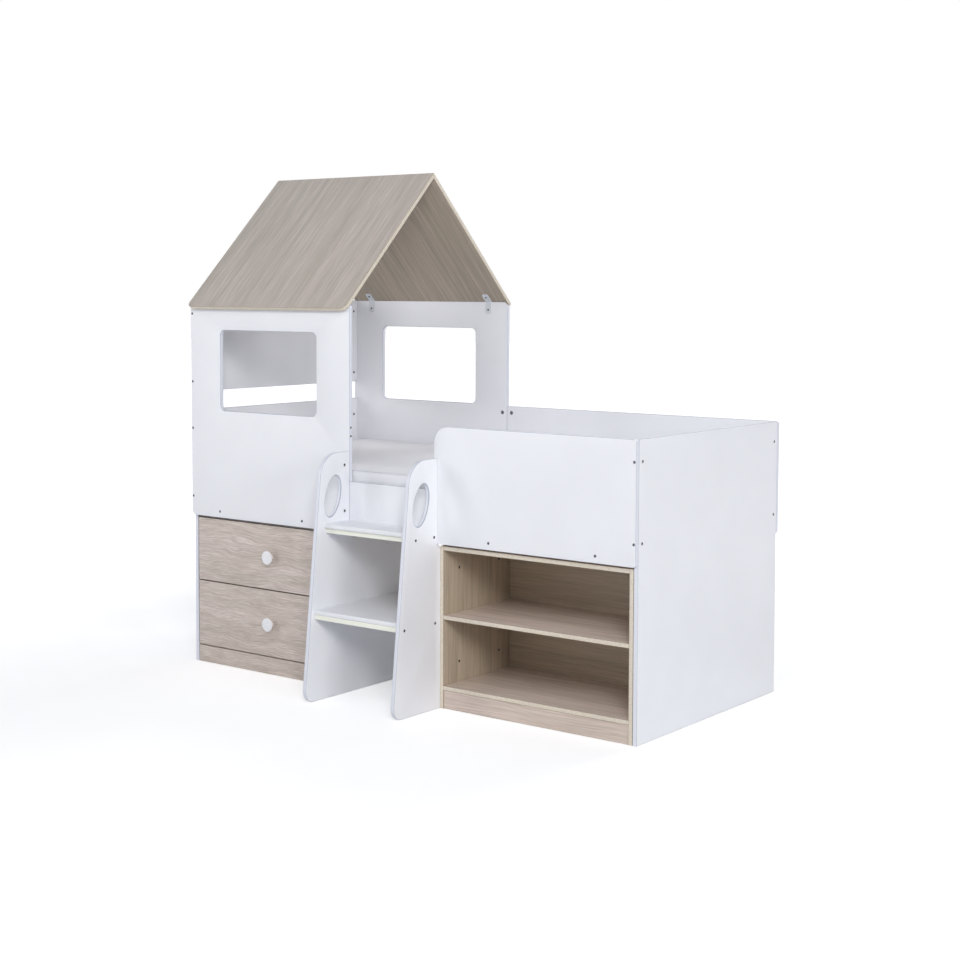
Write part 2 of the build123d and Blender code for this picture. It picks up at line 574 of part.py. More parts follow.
def drawer(which, front_limits):
    """Overlay front, box on rollers and a disc knob held by a screw from inside."""
    base = BOX_BASE[which]
    left = CHEST_LEFT + BOARD + RUNNER_ROOM
    right = CHEST_RIGHT - BOARD - RUNNER_ROOM
    length = (BOARD, BOARD + BOX_LENGTH)
    top = base + BOX_HEIGHT
    floor_level = base + 2 * GROOVE
    floor = block((left + BOX_BOARD - GROOVE, right - BOX_BOARD + GROOVE),
                  (BOARD - GROOVE, length[1] - BOX_BOARD + GROOVE), (floor_level, floor_level + BOX_BOTTOM))
    knob_x = (CHEST_LEFT + FRONT_INSET + FRONT_RIGHT) / 2
    knob_z = KNOB_Z[which]
    screw_face = (knob_x, BOARD, knob_z)
    shank = rod(screw_face, -AXIS["y"], KNOB_SCREW_LENGTH, KNOB_SCREW_RADIUS)
    thread = rod(screw_face, -AXIS["y"], KNOB_SCREW_LENGTH + BORE_GAP, KNOB_SCREW_RADIUS + BORE_GAP / 2)
    front = block((CHEST_LEFT + FRONT_INSET, FRONT_RIGHT), (0, BOARD), front_limits) - floor
    inner = (left + BOX_BOARD, right - BOX_BOARD)
    pieces = {
        "drawer_front": front - rod(screw_face, -AXIS["y"], BOARD, KNOB_SCREW_RADIUS + BORE_GAP),
        "drawer_left_side": block((left, inner[0]), length, (base, top)) - floor,
        "drawer_right_side": block((inner[1], right), length, (base, top)) - floor,
        "drawer_back": block(inner, (length[1] - BOX_BOARD, length[1]), (base, top)) - floor,
        "drawer_bottom": floor,
        "drawer_knob": drawer_knob(knob_x, knob_z) - thread,
        "knob_screw": shank + rod(screw_face, AXIS["y"], KNOB_SCREW_HEAD, 2 * KNOB_SCREW_RADIUS),
    }
    for piece, solid in pieces.items():
        node(f"{which}_{piece}", solid.solid())
    node(f"{which}_drawer_runners", *mirrored_pair(drawer_runner(which)))
    node("cabinet_runners", *mirrored_pair(cabinet_runner(which)))


def drawer_knob(x, z):
    """A thin round disc on a short waisted stem, turned about the knob's axis."""
    disc_base = KNOB_REACH - KNOB_DISC
    half = Polygon((0, 0), (KNOB_FOOT, 0), (KNOB_WAIST, KNOB_DISC / 2), (KNOB_WAIST, disc_base),
                   (KNOB_RADIUS - KNOB_DISC / 2, disc_base), (KNOB_RADIUS, disc_base + KNOB_DISC / 2),
                   (KNOB_RADIUS, KNOB_REACH - KNOB_EASE),
                   (KNOB_RADIUS - KNOB_EASE / 4, KNOB_REACH - KNOB_EASE / 4),
                   (KNOB_RADIUS - KNOB_EASE, KNOB_REACH), (0, KNOB_REACH), align=None)
    turned = revolve(Plane.XZ * half, axis=Axis.Z)
    return (Plane(origin=(x, 0, z), x_dir=(1, 0, 0), z_dir=(0, -1, 0)) * turned).solid()


def bed_base():
    """Bearers behind the side panels, slats across them and two tapes that space the slats."""
    inner = (BOARD, FOOT_INNER)
    thick, _ = BEARER
    node("front_bearer", drilled(block(inner, (0, thick), (DECK_BASE, DECK_TOP))))
    node("rear_bearer", drilled(block(inner, (DEPTH - thick, DEPTH), (DECK_BASE, DECK_TOP))))
    ends = (inner[0] + SLAT_MARGIN, inner[1] - SLAT_MARGIN)
    pitch = (ends[1] - ends[0] - SLAT_WIDTH) / (SLAT_COUNT - 1)
    slats = (DECK_TOP, DECK_TOP + SLAT_THICK)
    for index in range(SLAT_COUNT):
        start = ends[0] + index * pitch
        node("bed_slats", block((start, start + SLAT_WIDTH), (SLAT_END_GAP, DEPTH - SLAT_END_GAP), slats))
    for y in (DEPTH / 4, DEPTH * 3 / 4):
        across = (y - TAPE_WIDTH / 2, y + TAPE_WIDTH / 2)
        node("slat_tapes", block(ends, across, (DECK_TOP - TAPE_THICK, DECK_TOP)))


def mattress():
    """Single mattress: rounded corners, sides that bulge a little and a crowned top."""
    length, width, thick = MATTRESS

    def outline(share, end_inset, side_inset):
        """The mattress's outline at a share of its thickness."""
        place = Pos(LENGTH / 2, DEPTH / 2, MATTRESS_BASE + share * thick)
        return place * RectangleRounded(length - 2 * end_inset, width - 2 * side_inset, MATTRESS_CORNER)

    sides = [(0.0, 14.0), (0.10, 3.0), (0.30, 0.5), (0.55, 0.0), (0.78, 1.5), (0.90, 7.0)]
    rim = outline(CROWN_BASE, CROWN_EDGE, CROWN_EDGE)
    body = loft([outline(share, inset, inset) for share, inset in sides] + [rim], ruled=True)
    crown = loft([rim, outline(1.0, *CROWN_FLAT)], ruled=True)
    node("mattress", (body + crown).solid())


def save_parts():
    """Move everything to the shared origin and write one file for each node."""
    os.makedirs("parts", exist_ok=True)
    to_origin = Pos(*[-value for value in ORIGIN])
    for name, solids in nodes.items():
        placed = [to_origin * solid for solid in solids]
        shape = placed[0] if len(placed) == 1 else Compound(placed)
        export_step(shape, f"parts/{name}.step")


fit_panel_fastenings()
fit_joint_fastenings()
fit_tread_fastenings()
fit_unit_fastenings()
fit_ridge_dowels()
roof_brackets()
end_panels()
side_panels()
roof()
ladder()
chest()
bookcase()
for name, limits in (("upper", UPPER_FRONT), ("lower", LOWER_FRONT)):
    drawer(name, limits)
bed_base()
mattress()
save_parts()
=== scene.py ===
import logging
import math
from collections.abc import Callable, Iterable, Sequence
from dataclasses import dataclass, field
from enum import Enum

import bmesh
import bpy
from mathutils import Matrix, Vector


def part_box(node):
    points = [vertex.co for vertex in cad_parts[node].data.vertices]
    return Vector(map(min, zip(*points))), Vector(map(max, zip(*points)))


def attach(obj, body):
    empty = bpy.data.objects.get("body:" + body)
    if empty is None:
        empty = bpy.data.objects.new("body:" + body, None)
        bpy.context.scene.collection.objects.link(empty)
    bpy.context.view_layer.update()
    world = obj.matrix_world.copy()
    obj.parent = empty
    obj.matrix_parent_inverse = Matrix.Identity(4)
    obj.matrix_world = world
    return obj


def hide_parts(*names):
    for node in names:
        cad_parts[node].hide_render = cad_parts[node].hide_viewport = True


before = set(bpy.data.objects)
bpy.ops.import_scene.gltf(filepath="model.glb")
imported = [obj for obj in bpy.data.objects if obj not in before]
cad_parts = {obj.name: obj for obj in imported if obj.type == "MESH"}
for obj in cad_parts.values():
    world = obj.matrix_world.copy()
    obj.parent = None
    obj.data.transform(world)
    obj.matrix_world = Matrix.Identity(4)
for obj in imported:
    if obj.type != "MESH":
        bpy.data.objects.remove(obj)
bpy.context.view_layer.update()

# A child's mid sleeper cabin bed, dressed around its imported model. Lengths are metres, and MM turns
# millimetres into them. X runs along the bed from the house to the foot, Y from the ladder side to
# the wall side, Z up from the floor.

MM = 0.001
BED = "bed"
# Gap between a wall of the house and the roof, which the eye reads as a dark line
ROOF_GAP = 2.0 * MM
# Points nearer than this touch, and points nearer than WELD are one
TOUCH = 0.5 * MM
WELD = 0.001 * MM
# An edge that turns by more than this stays crisp
BOARD_CREASE = math.radians(35)
KNOB_CREASE = math.radians(40)
log = logging.getLogger("cabin_bed")

Point = tuple[float, float]
Loop = list[Point]


def linear(code: str) -> tuple[float, float, float, float]:
    """Turn an sRGB hex colour into linear light.

    Args:
        code: Colour such as "#F2F4F8".

    Returns:
        Red, green, blue and an alpha of one.
    """
    channels = [int(code[start:start + 2], 16) / 255 for start in (1, 3, 5)]
    light = [c / 12.92 if c <= 0.04045 else ((c + 0.055) / 1.055) ** 2.4 for c in channels]
    return light[0], light[1], light[2], 1.0


def put(tree: bpy.types.NodeTree, kind: str, inputs: dict | None = None,
        **settings: object) -> bpy.types.Node:
    """Add one node with its settings, values and links.

    Args:
        tree: Node tree that the node goes into.
        kind: Node type without its "ShaderNode" prefix.
        inputs: Socket name or number, with the value to set or the output socket to link from.
        settings: Properties of the node itself.

    Returns:
        The new node.
    """
    node = tree.nodes.new("ShaderNode" + kind)
    for name, value in settings.items():
        setattr(node, name, value)
    for name, value in (inputs or {}).items():
        socket = node.inputs[name]
        if isinstance(value, bpy.types.NodeSocket):
            tree.links.new(value, socket)
        else:
            socket.default_value = value
    return node


def ramp(tree: bpy.types.NodeTree, factor: bpy.types.NodeSocket,
         stops: Sequence[tuple[float, str]]) -> bpy.types.NodeSocket:
    """Turn a factor into colour through a ramp.

    Args:
        tree: Node tree.
        factor: Output socket that drives the ramp.
        stops: Position and sRGB hex colour of each stop, from low to high.

    Returns:
        The ramp's colour output.
    """
    node = put(tree, "ValToRGB", {"Fac": factor})
    elements = node.color_ramp.elements
    while len(elements) < len(stops):
        elements.new(0.5)
    for element, (position, code) in zip(elements, stops):
        element.position = position
        element.color = linear(code)
    return node.outputs["Color"]


def reckon(tree: bpy.types.NodeTree, operation: str,
           *values: float | bpy.types.NodeSocket) -> bpy.types.NodeSocket:
    """Work out a value with one maths node.

    Args:
        tree: Node tree.
        operation: Blender's name for the sum.
        values: Numbers or output sockets, in the node's order.

    Returns:
        The node's output.
    """
    return put(tree, "Math", dict(enumerate(values)), operation=operation).outputs[0]


def make_piece(name: str, mesh: bmesh.types.BMesh) -> bpy.types.Object:
    """Turn a finished form, which is used up, into an object of the scene."""
    data = bpy.data.meshes.new(name)
    mesh.to_mesh(data)
    mesh.free()
    made = bpy.data.objects.new(name, data)
    bpy.context.scene.collection.objects.link(made)
    return made


@dataclass(frozen=True)
class Finish:
    """What a surface is made of. A subclass adds its sizes and writes its own nodes.

    Attributes:
        name: Name of the Blender material.
        roughness: Typical roughness of the finish.
        ior: Index of refraction of its top layer.
    """

    name: str
    roughness: float = 0.4
    ior: float = 1.5

    NOISE_MIDDLE = (0.3, 0.7)

    def material(self) -> bpy.types.Material:
        """Make the material once and hand out the same one after that."""
        found = bpy.data.materials.get(self.name)
        if found:
            return found
        made = bpy.data.materials.new(self.name)
        made.use_nodes = True
        tree = made.node_tree
        shader = tree.nodes["Principled BSDF"]
        shader.inputs["Roughness"].default_value = self.roughness
        shader.inputs["IOR"].default_value = self.ior
        self.shade(tree, shader)
        return made

    def shade(self, tree: bpy.types.NodeTree, shader: bpy.types.Node) -> None:
        """Write the nodes of this finish into its material."""
        raise NotImplementedError

    def noise(self, tree: bpy.types.NodeTree, vector: bpy.types.NodeSocket, size: float,
              detail: float = 2.0, roughness: float = 0.5) -> bpy.types.NodeSocket:
        """Add a noise whose lumps are about `size` metres apart.

        Args:
            tree: Node tree.
            vector: Coordinates in metres.
            size: Distance between lumps in metres.
            detail: Number of finer layers.
            roughness: Strength of the finer layers.

        Returns:
            The noise's factor output.
        """
        settings = {"Vector": vector, "Scale": 1.0 / size, "Detail": detail, "Roughness": roughness}
        return put(tree, "TexNoise", settings).outputs["Fac"]

    def bump(self, tree: bpy.types.NodeTree, shader: bpy.types.Node, height: bpy.types.NodeSocket,
             depth: float, strength: float = 1.0) -> None:
        """Raise the surface by a height pattern.

        Args:
            tree: Node tree.
            shader: Shader that receives the normal.
            height: Pattern from zero to one.
            depth: Height of the pattern in metres.
            strength: Share of the effect that is kept.
        """
        node = put(tree, "Bump", {"Height": height, "Distance": depth, "Strength": strength})
        tree.links.new(node.outputs["Normal"], shader.inputs["Normal"])

    def spread(self, tree: bpy.types.NodeTree, factor: bpy.types.NodeSocket, low: float,
               high: float) -> bpy.types.NodeSocket:
        """Stretch the useful middle of a noise between two values."""
        start, end = self.NOISE_MIDDLE
        settings = {"Value": factor, "From Min": start, "From Max": end, "To Min": low, "To Max": high}
        return put(tree, "MapRange", settings).outputs["Result"]

    def gloss(self, tree: bpy.types.NodeTree, shader: bpy.types.Node, pattern: bpy.types.NodeSocket,
              amount: float) -> None:
        """Let the roughness drift by `amount` either way with a pattern."""
        drift = self.spread(tree, pattern, self.roughness - amount, self.roughness + amount)
        tree.links.new(drift, shader.inputs["Roughness"])

    def paint(self, tree: bpy.types.NodeTree, shader: bpy.types.Node, pattern: bpy.types.NodeSocket,
              stops: Sequence[tuple[float, str]]) -> None:
        """Colour the surface by a pattern through a ramp."""
        tree.links.new(ramp(tree, pattern, stops), shader.inputs["Base Color"])

    def place(self, tree: bpy.types.NodeTree) -> bpy.types.NodeSocket:
        """Coordinates in metres that stay with the piece."""
        return put(tree, "TexCoord").outputs["Object"]


@dataclass(frozen=True)
class Melamine(Finish):
    """White melamine paper pressed on chipboard with a fine satin plate.

    Attributes:
        cool: Colour where the paper is whitest.
        dull: The slightly duller colour that it drifts to.
        mottle: Size of the slow drift between the two.
        grit: Size of the pressed satin grain, drawn coarser than the real 0.3 mm so that it shows.
    """

    cool: str = "#F4F5F9"
    dull: str = "#F2F3F7"
    mottle: float = 160 * MM
    grit: float = 1.1 * MM

    GLOSS = 0.05
    DEPTH = 0.03 * MM

    def shade(self, tree: bpy.types.NodeTree, shader: bpy.types.Node) -> None:
        """A near-even white whose gloss breaks up a little."""
        where = self.place(tree)
        drift = self.noise(tree, where, self.mottle)
        self.paint(tree, shader, drift, [(0.35, self.dull), (0.65, self.cool)])
        grain = self.noise(tree, where, self.grit, detail=3.0, roughness=0.6)
        self.gloss(tree, shader, grain, self.GLOSS)
        self.bump(tree, shader, grain, self.DEPTH)


@dataclass(frozen=True)
class AshLaminate(Finish):
    """Melamine printed and embossed as limed ash: fine taupe streaks that run along the board.

    It reads the "grain" attribute, which holds metres along, across and through the grain.

    Attributes:
        dark: Colour of the pore lines.
        middle: Ground colour.
        light: Colour of the limed streaks.
        warm: Tint of the pinkish bands.
        cool: Tint of the olive bands between them.
        streak: Spacing of the streaks across the grain.
        run: Length of a streak along the grain.
        wander: How far the streaks sway sideways.
        sway: Distance along the grain over which they sway.
        contrast: Strength of the streaks against the ground.
    """

    dark: str = "#9A9088"
    middle: str = "#B4AAA1"
    light: str = "#CCC3B9"
    warm: str = "#B9A99A"
    cool: str = "#B3AD9E"
    streak: float = 5.0 * MM
    run: float = 260 * MM
    wander: float = 3.0 * MM
    sway: float = 300 * MM
    contrast: float = 1.0

    TINT = 0.35
    STREAK_SHARE, FIBRE_SHARE, BAND_SHARE = 0.50, 0.32, 0.18
    HALF_RANGE = 0.13
    GLOSS = 0.06
    DEPTH = 0.12 * MM

    def stretched(self, tree: bpy.types.NodeTree, parts: Sequence[bpy.types.NodeSocket],
                  run: float, width: float) -> bpy.types.NodeSocket:
        """Coordinates in which a streak of that run and width is one unit each way."""
        along = reckon(tree, "MULTIPLY", parts[0], 1.0 / run)
        across = reckon(tree, "MULTIPLY", parts[1], 1.0 / width)
        return put(tree, "CombineXYZ", {"X": along, "Y": across, "Z": parts[2]}).outputs["Vector"]

    def layer(self, tree: bpy.types.NodeTree, parts: Sequence[bpy.types.NodeSocket], run: float,
              width: float, detail: float) -> bpy.types.NodeSocket:
        """One set of streaks as a noise factor."""
        vector = self.stretched(tree, parts, run, width)
        return self.noise(tree, vector, 1.0, detail=detail, roughness=0.55)

    def shade(self, tree: bpy.types.NodeTree, shader: bpy.types.Node) -> None:
        """Three sets of streaks over broad bands, each swaying together."""
        grain = put(tree, "Attribute", attribute_type="GEOMETRY", attribute_name="grain").outputs["Vector"]
        along, across, through = put(tree, "SeparateXYZ", {"Vector": grain}).outputs
        slow = self.stretched(tree, (along, across, through), self.sway, self.sway / 3)
        sway = self.noise(tree, slow, 1.0, 1.0)
        shift = self.spread(tree, sway, -self.wander, self.wander)
        swayed = reckon(tree, "ADD", across, shift)
        parts = (along, swayed, through)
        bands = self.layer(tree, parts, self.run * 4, self.streak * 9, 1.0)
        streaks = self.layer(tree, parts, self.run, self.streak, 2.0)
        fibres = self.layer(tree, parts, self.run / 3, self.streak / 3, 1.0)
        tone = reckon(tree, "MULTIPLY", streaks, self.STREAK_SHARE)
        tone = reckon(tree, "MULTIPLY_ADD", fibres, self.FIBRE_SHARE, tone)
        tone = reckon(tree, "MULTIPLY_ADD", bands, self.BAND_SHARE, tone)
        half = self.HALF_RANGE / self.contrast
        colour = ramp(tree, tone, [(0.5 - half, self.dark), (0.5, self.middle), (0.5 + half, self.light)])
        tint = ramp(tree, bands, [(0.38, self.cool), (0.62, self.warm)])
        mixed = put(tree, "Mix", {"Factor": self.TINT, 6: colour, 7: tint}, data_type="RGBA")
        tree.links.new(mixed.outputs[2], shader.inputs["Base Color"])
        self.gloss(tree, shader, fibres, -self.GLOSS)
        self.bump(tree, shader, tone, self.DEPTH)


@dataclass(frozen=True)
class EdgeBand(Finish):
    """Thin plastic edging glued round a board, with the fine speckle of its print.

    Attributes:
        base: Ground colour.
        fleck: Colour of the printed flecks.
        speckle: Size of the flecks, drawn coarser than the real 0.5 mm so that they show.
    """

    base: str = "#D8CFC0"
    fleck: str = "#C6BAA8"
    speckle: float = 2.4 * MM

    PEEL = 3.5 * MM
    DEPTH = 0.03 * MM

    def shade(self, tree: bpy.types.NodeTree, shader: bpy.types.Node) -> None:
        """Flecks on a flat ground, with a slight orange peel."""
        where = self.place(tree)
        flecks = self.noise(tree, where, self.speckle, detail=2.0, roughness=0.6)
        self.paint(tree, shader, flecks, [(0.42, self.fleck), (0.58, self.base)])
        peel = self.noise(tree, where, self.PEEL)
        self.bump(tree, shader, peel, self.DEPTH)


@dataclass(frozen=True)
class Chipboard(Finish):
    """Raw chipboard, as a bore cuts it: brown chips and darker glue between them, darkened as painted shade
    in the hole.
    """

    chip: str = "#7A6850"
    glue: str = "#4A3D2E"
    chip_size: float = 2.2 * MM

    DEPTH = 0.3 * MM

    def shade(self, tree: bpy.types.NodeTree, shader: bpy.types.Node) -> None:
        """Cells for the chips, each of its own tone."""
        cells = put(tree, "TexVoronoi", {"Vector": self.place(tree), "Scale": 1.0 / self.chip_size})
        tone = put(tree, "SeparateColor", {"Color": cells.outputs["Color"]}).outputs[0]
        self.paint(tree, shader, tone, [(0.1, self.glue), (0.8, self.chip)])
        self.bump(tree, shader, cells.outputs["Distance"], self.DEPTH)


@dataclass(frozen=True)
class Softwood(Finish):
    """Planed pine or turned beech: long soft rings and small dark pores along the piece.

    Attributes:
        early: Colour of the pale wood.
        late: Colour of the darker rings.
        ring: Spacing of the rings.
        lengthwise: Stretch of the figure along X, Y and Z. The long way has the small number.
    """

    early: str = "#E3CBA0"
    late: str = "#CDA871"
    ring: float = 7.0 * MM
    lengthwise: tuple[float, float, float] = (1.0, 0.06, 1.0)

    DEPTH = 0.15 * MM

    def shade(self, tree: bpy.types.NodeTree, shader: bpy.types.Node) -> None:
        """Rings and fine fibres stretched along the piece."""
        turned = put(tree, "Mapping", {"Vector": self.place(tree), "Scale": self.lengthwise})
        where = turned.outputs["Vector"]
        rings = self.noise(tree, where, self.ring, detail=2.0)
        fibres = self.noise(tree, where, self.ring / 8, detail=3.0)
        self.paint(tree, shader, rings, [(0.4, self.late), (0.62, self.early)])
        self.bump(tree, shader, fibres, self.DEPTH)


@dataclass(frozen=True)
class Plastic(Finish):
    """Injection-moulded plastic: even colour and a faint orange peel in the gloss."""

    base: str = "#F3F4F6"
    shadow: str = "#ECEDF0"
    peel: float = 4.0 * MM

    GLOSS = 0.04
    DEPTH = 0.04 * MM

    def shade(self, tree: bpy.types.NodeTree, shader: bpy.types.Node) -> None:
        """A slight drift of colour and gloss, and the peel as a bump."""
        peel = self.noise(tree, self.place(tree), self.peel, detail=1.0)
        self.paint(tree, shader, peel, [(0.3, self.shadow), (0.7, self.base)])
        self.gloss(tree, shader, peel, self.GLOSS)
        self.bump(tree, shader, peel, self.DEPTH)


@dataclass(frozen=True)
class CoatedSteel(Finish):
    """Steel under an enamel or powder coat: a pebbled skin over the metal."""

    base: str = "#E9E9E8"
    dull: str = "#DEDEDD"
    pebble: float = 1.6 * MM

    GLOSS = 0.06
    DEPTH = 0.06 * MM

    def shade(self, tree: bpy.types.NodeTree, shader: bpy.types.Node) -> None:
        """The pebble of the coat in its gloss and as a bump."""
        pebble = self.noise(tree, self.place(tree), self.pebble, detail=2.0)
        self.paint(tree, shader, pebble, [(0.3, self.dull), (0.7, self.base)])
        self.gloss(tree, shader, pebble, self.GLOSS)
        self.bump(tree, shader, pebble, self.DEPTH)


@dataclass(frozen=True)
class BareSteel(Finish):
    """Plated steel, zinc or black: metal with the cloudy gloss of its plating.

    Attributes:
        bright: Colour of the clean plating.
        cloudy: Colour of its duller clouds.
        cloud: Size of the clouds.
    """

    bright: str = "#B9BBBE"
    cloudy: str = "#9A9CA0"
    cloud: float = 3.0 * MM

    GLOSS = 0.08
    DEPTH = 0.02 * MM

    def shade(self, tree: bpy.types.NodeTree, shader: bpy.types.Node) -> None:
        """A metal whose colour and gloss drift with the clouds."""
        shader.inputs["Metallic"].default_value = 1.0
        clouds = self.noise(tree, self.place(tree), self.cloud, detail=3.0)
        self.paint(tree, shader, clouds, [(0.35, self.cloudy), (0.65, self.bright)])
        self.gloss(tree, shader, clouds, self.GLOSS)
        self.bump(tree, shader, clouds, self.DEPTH)


@dataclass(frozen=True)
class Knit(Finish):
    """White knitted mattress ticking: soft rows of loops with a bloom of loose fibre.

    Attributes:
        thread: Colour of the loops.
        gap: Colour between the loops.
        loop: Distance between rows. Real ticking has 1.2 mm, drawn at 3 mm so that it shows.
    """

    thread: str = "#F4F4F5"
    gap: str = "#E6E6E8"
    loop: float = 3.0 * MM

    SHEEN = 0.25
    SHEEN_ROUGHNESS = 0.5
    FLUFF = 9 * MM
    DEPTH = 0.25 * MM
    STRENGTH = 0.6

    def shade(self, tree: bpy.types.NodeTree, shader: bpy.types.Node) -> None:
        """Two crossed waves make the loops, and sheen the bloom."""
        where = self.place(tree)
        turn = 2 * math.pi / self.loop
        parts = put(tree, "SeparateXYZ", {"Vector": where}).outputs
        waves = []
        for part in (parts[0], parts[1]):
            scaled = reckon(tree, "MULTIPLY", part, turn)
            waves.append(reckon(tree, "SINE", scaled))
        level = reckon(tree, "MULTIPLY", parts[2], turn)
        upright = reckon(tree, "SINE", level)
        loops = reckon(tree, "MULTIPLY", waves[0], waves[1])
        loops = reckon(tree, "MULTIPLY_ADD", upright, 0.5, loops)
        fluff = self.noise(tree, where, self.FLUFF, detail=3.0)
        height = reckon(tree, "MULTIPLY_ADD", fluff, 0.6, loops)
        face = put(tree, "MapRange", {"Value": height, "From Min": -0.8, "From Max": 1.4}).outputs["Result"]
        self.paint(tree, shader, face, [(0.0, self.gap), (1.0, self.thread)])
        shader.inputs["Sheen Weight"].default_value = self.SHEEN
        shader.inputs["Sheen Roughness"].default_value = self.SHEEN_ROUGHNESS
        self.bump(tree, shader, face, self.DEPTH, self.STRENGTH)


@dataclass(frozen=True)
class Webbing(Finish):
    """Narrow woven tape: ribs across its width."""

    rib: float = 2.5 * MM
    base: str = "#ECECE8"
    valley: str = "#D3D3CD"

    WAVE = 0.314
    DEPTH = 0.3 * MM

    def shade(self, tree: bpy.types.NodeTree, shader: bpy.types.Node) -> None:
        """Bands along X for the ribs."""
        settings = {"Vector": self.place(tree), "Scale": self.WAVE / self.rib, "Distortion": 0.4}
        ribs = put(tree, "TexWave", settings, wave_type="BANDS", bands_direction="X").outputs["Fac"]
        self.paint(tree, shader, ribs, [(0.1, self.valley), (0.8, self.base)])
        self.bump(tree, shader, ribs, self.DEPTH)


# Satin white melamine with its matching thin edging, on every frame board and the ladder
WHITE = Melamine("white melamine board", roughness=0.38, ior=1.55)
WHITE_EDGE = EdgeBand("white edging", roughness=0.34, base="#E9EBF4", fleck="#E4E7F0")
# Eased rims where edging meets a face: a glue line widened into a band of painted shade, a hair of grey on
# white boards and of brown on ash ones
WHITE_RIM_SHADE = EdgeBand("grey glue line with painted rim shade", roughness=0.5, base="#B9BDC8", fleck="#AEB3BE")
ASH_RIM_SHADE = EdgeBand("brown glue line with painted rim shade", roughness=0.6, base="#A79A8A", fleck="#95887A")
# Printed limed ash: straight and fine on the roof, wavy and paler on the storage fronts. The browner rear
# roof board and bookcase sides and back are copies darkened as painted shade, the pinkish bookcase levels
# and plinth a copy lightened as painted light
ROOF_ASH = AshLaminate("limed ash laminate, roof", roughness=0.5, ior=1.55, dark="#A1968F",
                       middle="#BDB3AB", light="#DDD6CD", warm="#C2B2AA", cool="#B5AFA0",
                       streak=3.4 * MM, wander=1.5 * MM)
SHADED_REAR_ASH = AshLaminate("limed ash laminate, rear roof, darkened as painted shade", roughness=0.5, ior=1.55, dark="#958879",
                       middle="#B0A292", light="#CDC1AF", warm="#B4A191", cool="#A89F88",
                       streak=3.4 * MM, wander=1.5 * MM)
FRONT_ASH = AshLaminate("limed ash laminate, fronts", roughness=0.5, ior=1.55, dark="#AB9D93",
                        middle="#CDBFB6", light="#EDE4DB", warm="#D4C3BA", cool="#C7BDB0",
                        streak=4.2 * MM, run=95 * MM, wander=8 * MM, sway=150 * MM)
SHADED_SIDE_ASH = AshLaminate("limed ash laminate, bookcase sides", roughness=0.5, ior=1.55, dark="#988A7A",
                       middle="#B8A895", light="#CFC0AC", warm="#BCA992", cool="#B1A58E", streak=4 * MM)
LIT_LEVEL_ASH = AshLaminate("limed ash laminate, bookcase levels", roughness=0.5, ior=1.55, dark="#B3A397",
                        middle="#D3C3B8", light="#E6DACE", warm="#DAC7BC", cool="#CDC0B2", streak=5 * MM,
                        run=230 * MM, wander=5 * MM)
# Cream edging with a fine fleck, the lightest line on the ash boards
ASH_EDGE = EdgeBand("cream ash edging", roughness=0.45, base="#E9E0D0", fleck="#D6CAB6")
# Edging round the drawer fronts, darkened as painted shade, which draws the narrow gaps between them
FRONT_GAP_SHADE_EDGE = EdgeBand("taupe edging darkened as painted gap shade", roughness=0.6, base="#8C8074", fleck="#796E63")
# Brown board at the bottom of a bore, darkened as painted shade, which makes an open hole read dark
SHADED_RAW_BOARD = Chipboard("raw chipboard darkened as painted hole shade", roughness=0.85)
# Foil on the drawer boxes: smoother and a touch warmer than the frame boards
FOIL = Melamine("white foil on drawer board", roughness=0.45, cool="#EEEEEC", dull="#E6E6E3")
# Strip on the battens, a very pale yellow-green beside the cool white boards
GLOW_STRIP = Plastic("pale green edge strip", roughness=0.5, base="#FDFEF4", shadow="#F9FBEA")
# Glossier than the boards, so that the knob's round edge catches a highlight
KNOB_PLASTIC = Plastic("white moulded knob", roughness=0.28, ior=1.49, base="#FBFBFD", shadow="#F6F7FA")
# Small dark grey dots on the white boards: bolts, then nuts and cams, then the brackets' screws
BOLT_STEEL = BareSteel("dark plated bolt", roughness=0.42, bright="#737682", cloudy="#494C57")
ZINC = BareSteel("zinc plating", roughness=0.42, bright="#80838A", cloudy="#65686F")
SCREW_STEEL = BareSteel("dull screw steel", roughness=0.45, bright="#777A80", cloudy="#4A4D54")
# Pale bluish straps that stand out a little from the wall behind them
STRAP_STEEL = CoatedSteel("grey coated strap", roughness=0.45, base="#E3E6EB", dull="#D9DCE2")
# Smooth white enamel, seen only with a drawer open
RUNNER_ENAMEL = CoatedSteel("white enamelled runner", roughness=0.35)
# Soft matt knit against the satin boards, with a slightly duller cord along its seams
COVER = Knit("white knitted ticking", roughness=0.85, thread="#FAFAFD", gap="#EEEEF3")
PIPING = Knit("white piping", roughness=0.8, loop=2.0 * MM, gap="#DCDCDF")
# Warm wood under the mattress, with its grain along each piece
PINE_ALONG_X = Softwood("planed pine, lengthwise", roughness=0.6, lengthwise=(0.06, 1.0, 1.0))
PINE_ALONG_Y = Softwood("planed pine, crosswise", roughness=0.6)
BEECH = Softwood("beech dowel", roughness=0.55, early="#D7AF84", late="#C0926A", ring=4 * MM)
# Off-white ribbed tape across the slats
TAPE = Webbing("woven slat tape", roughness=0.8)


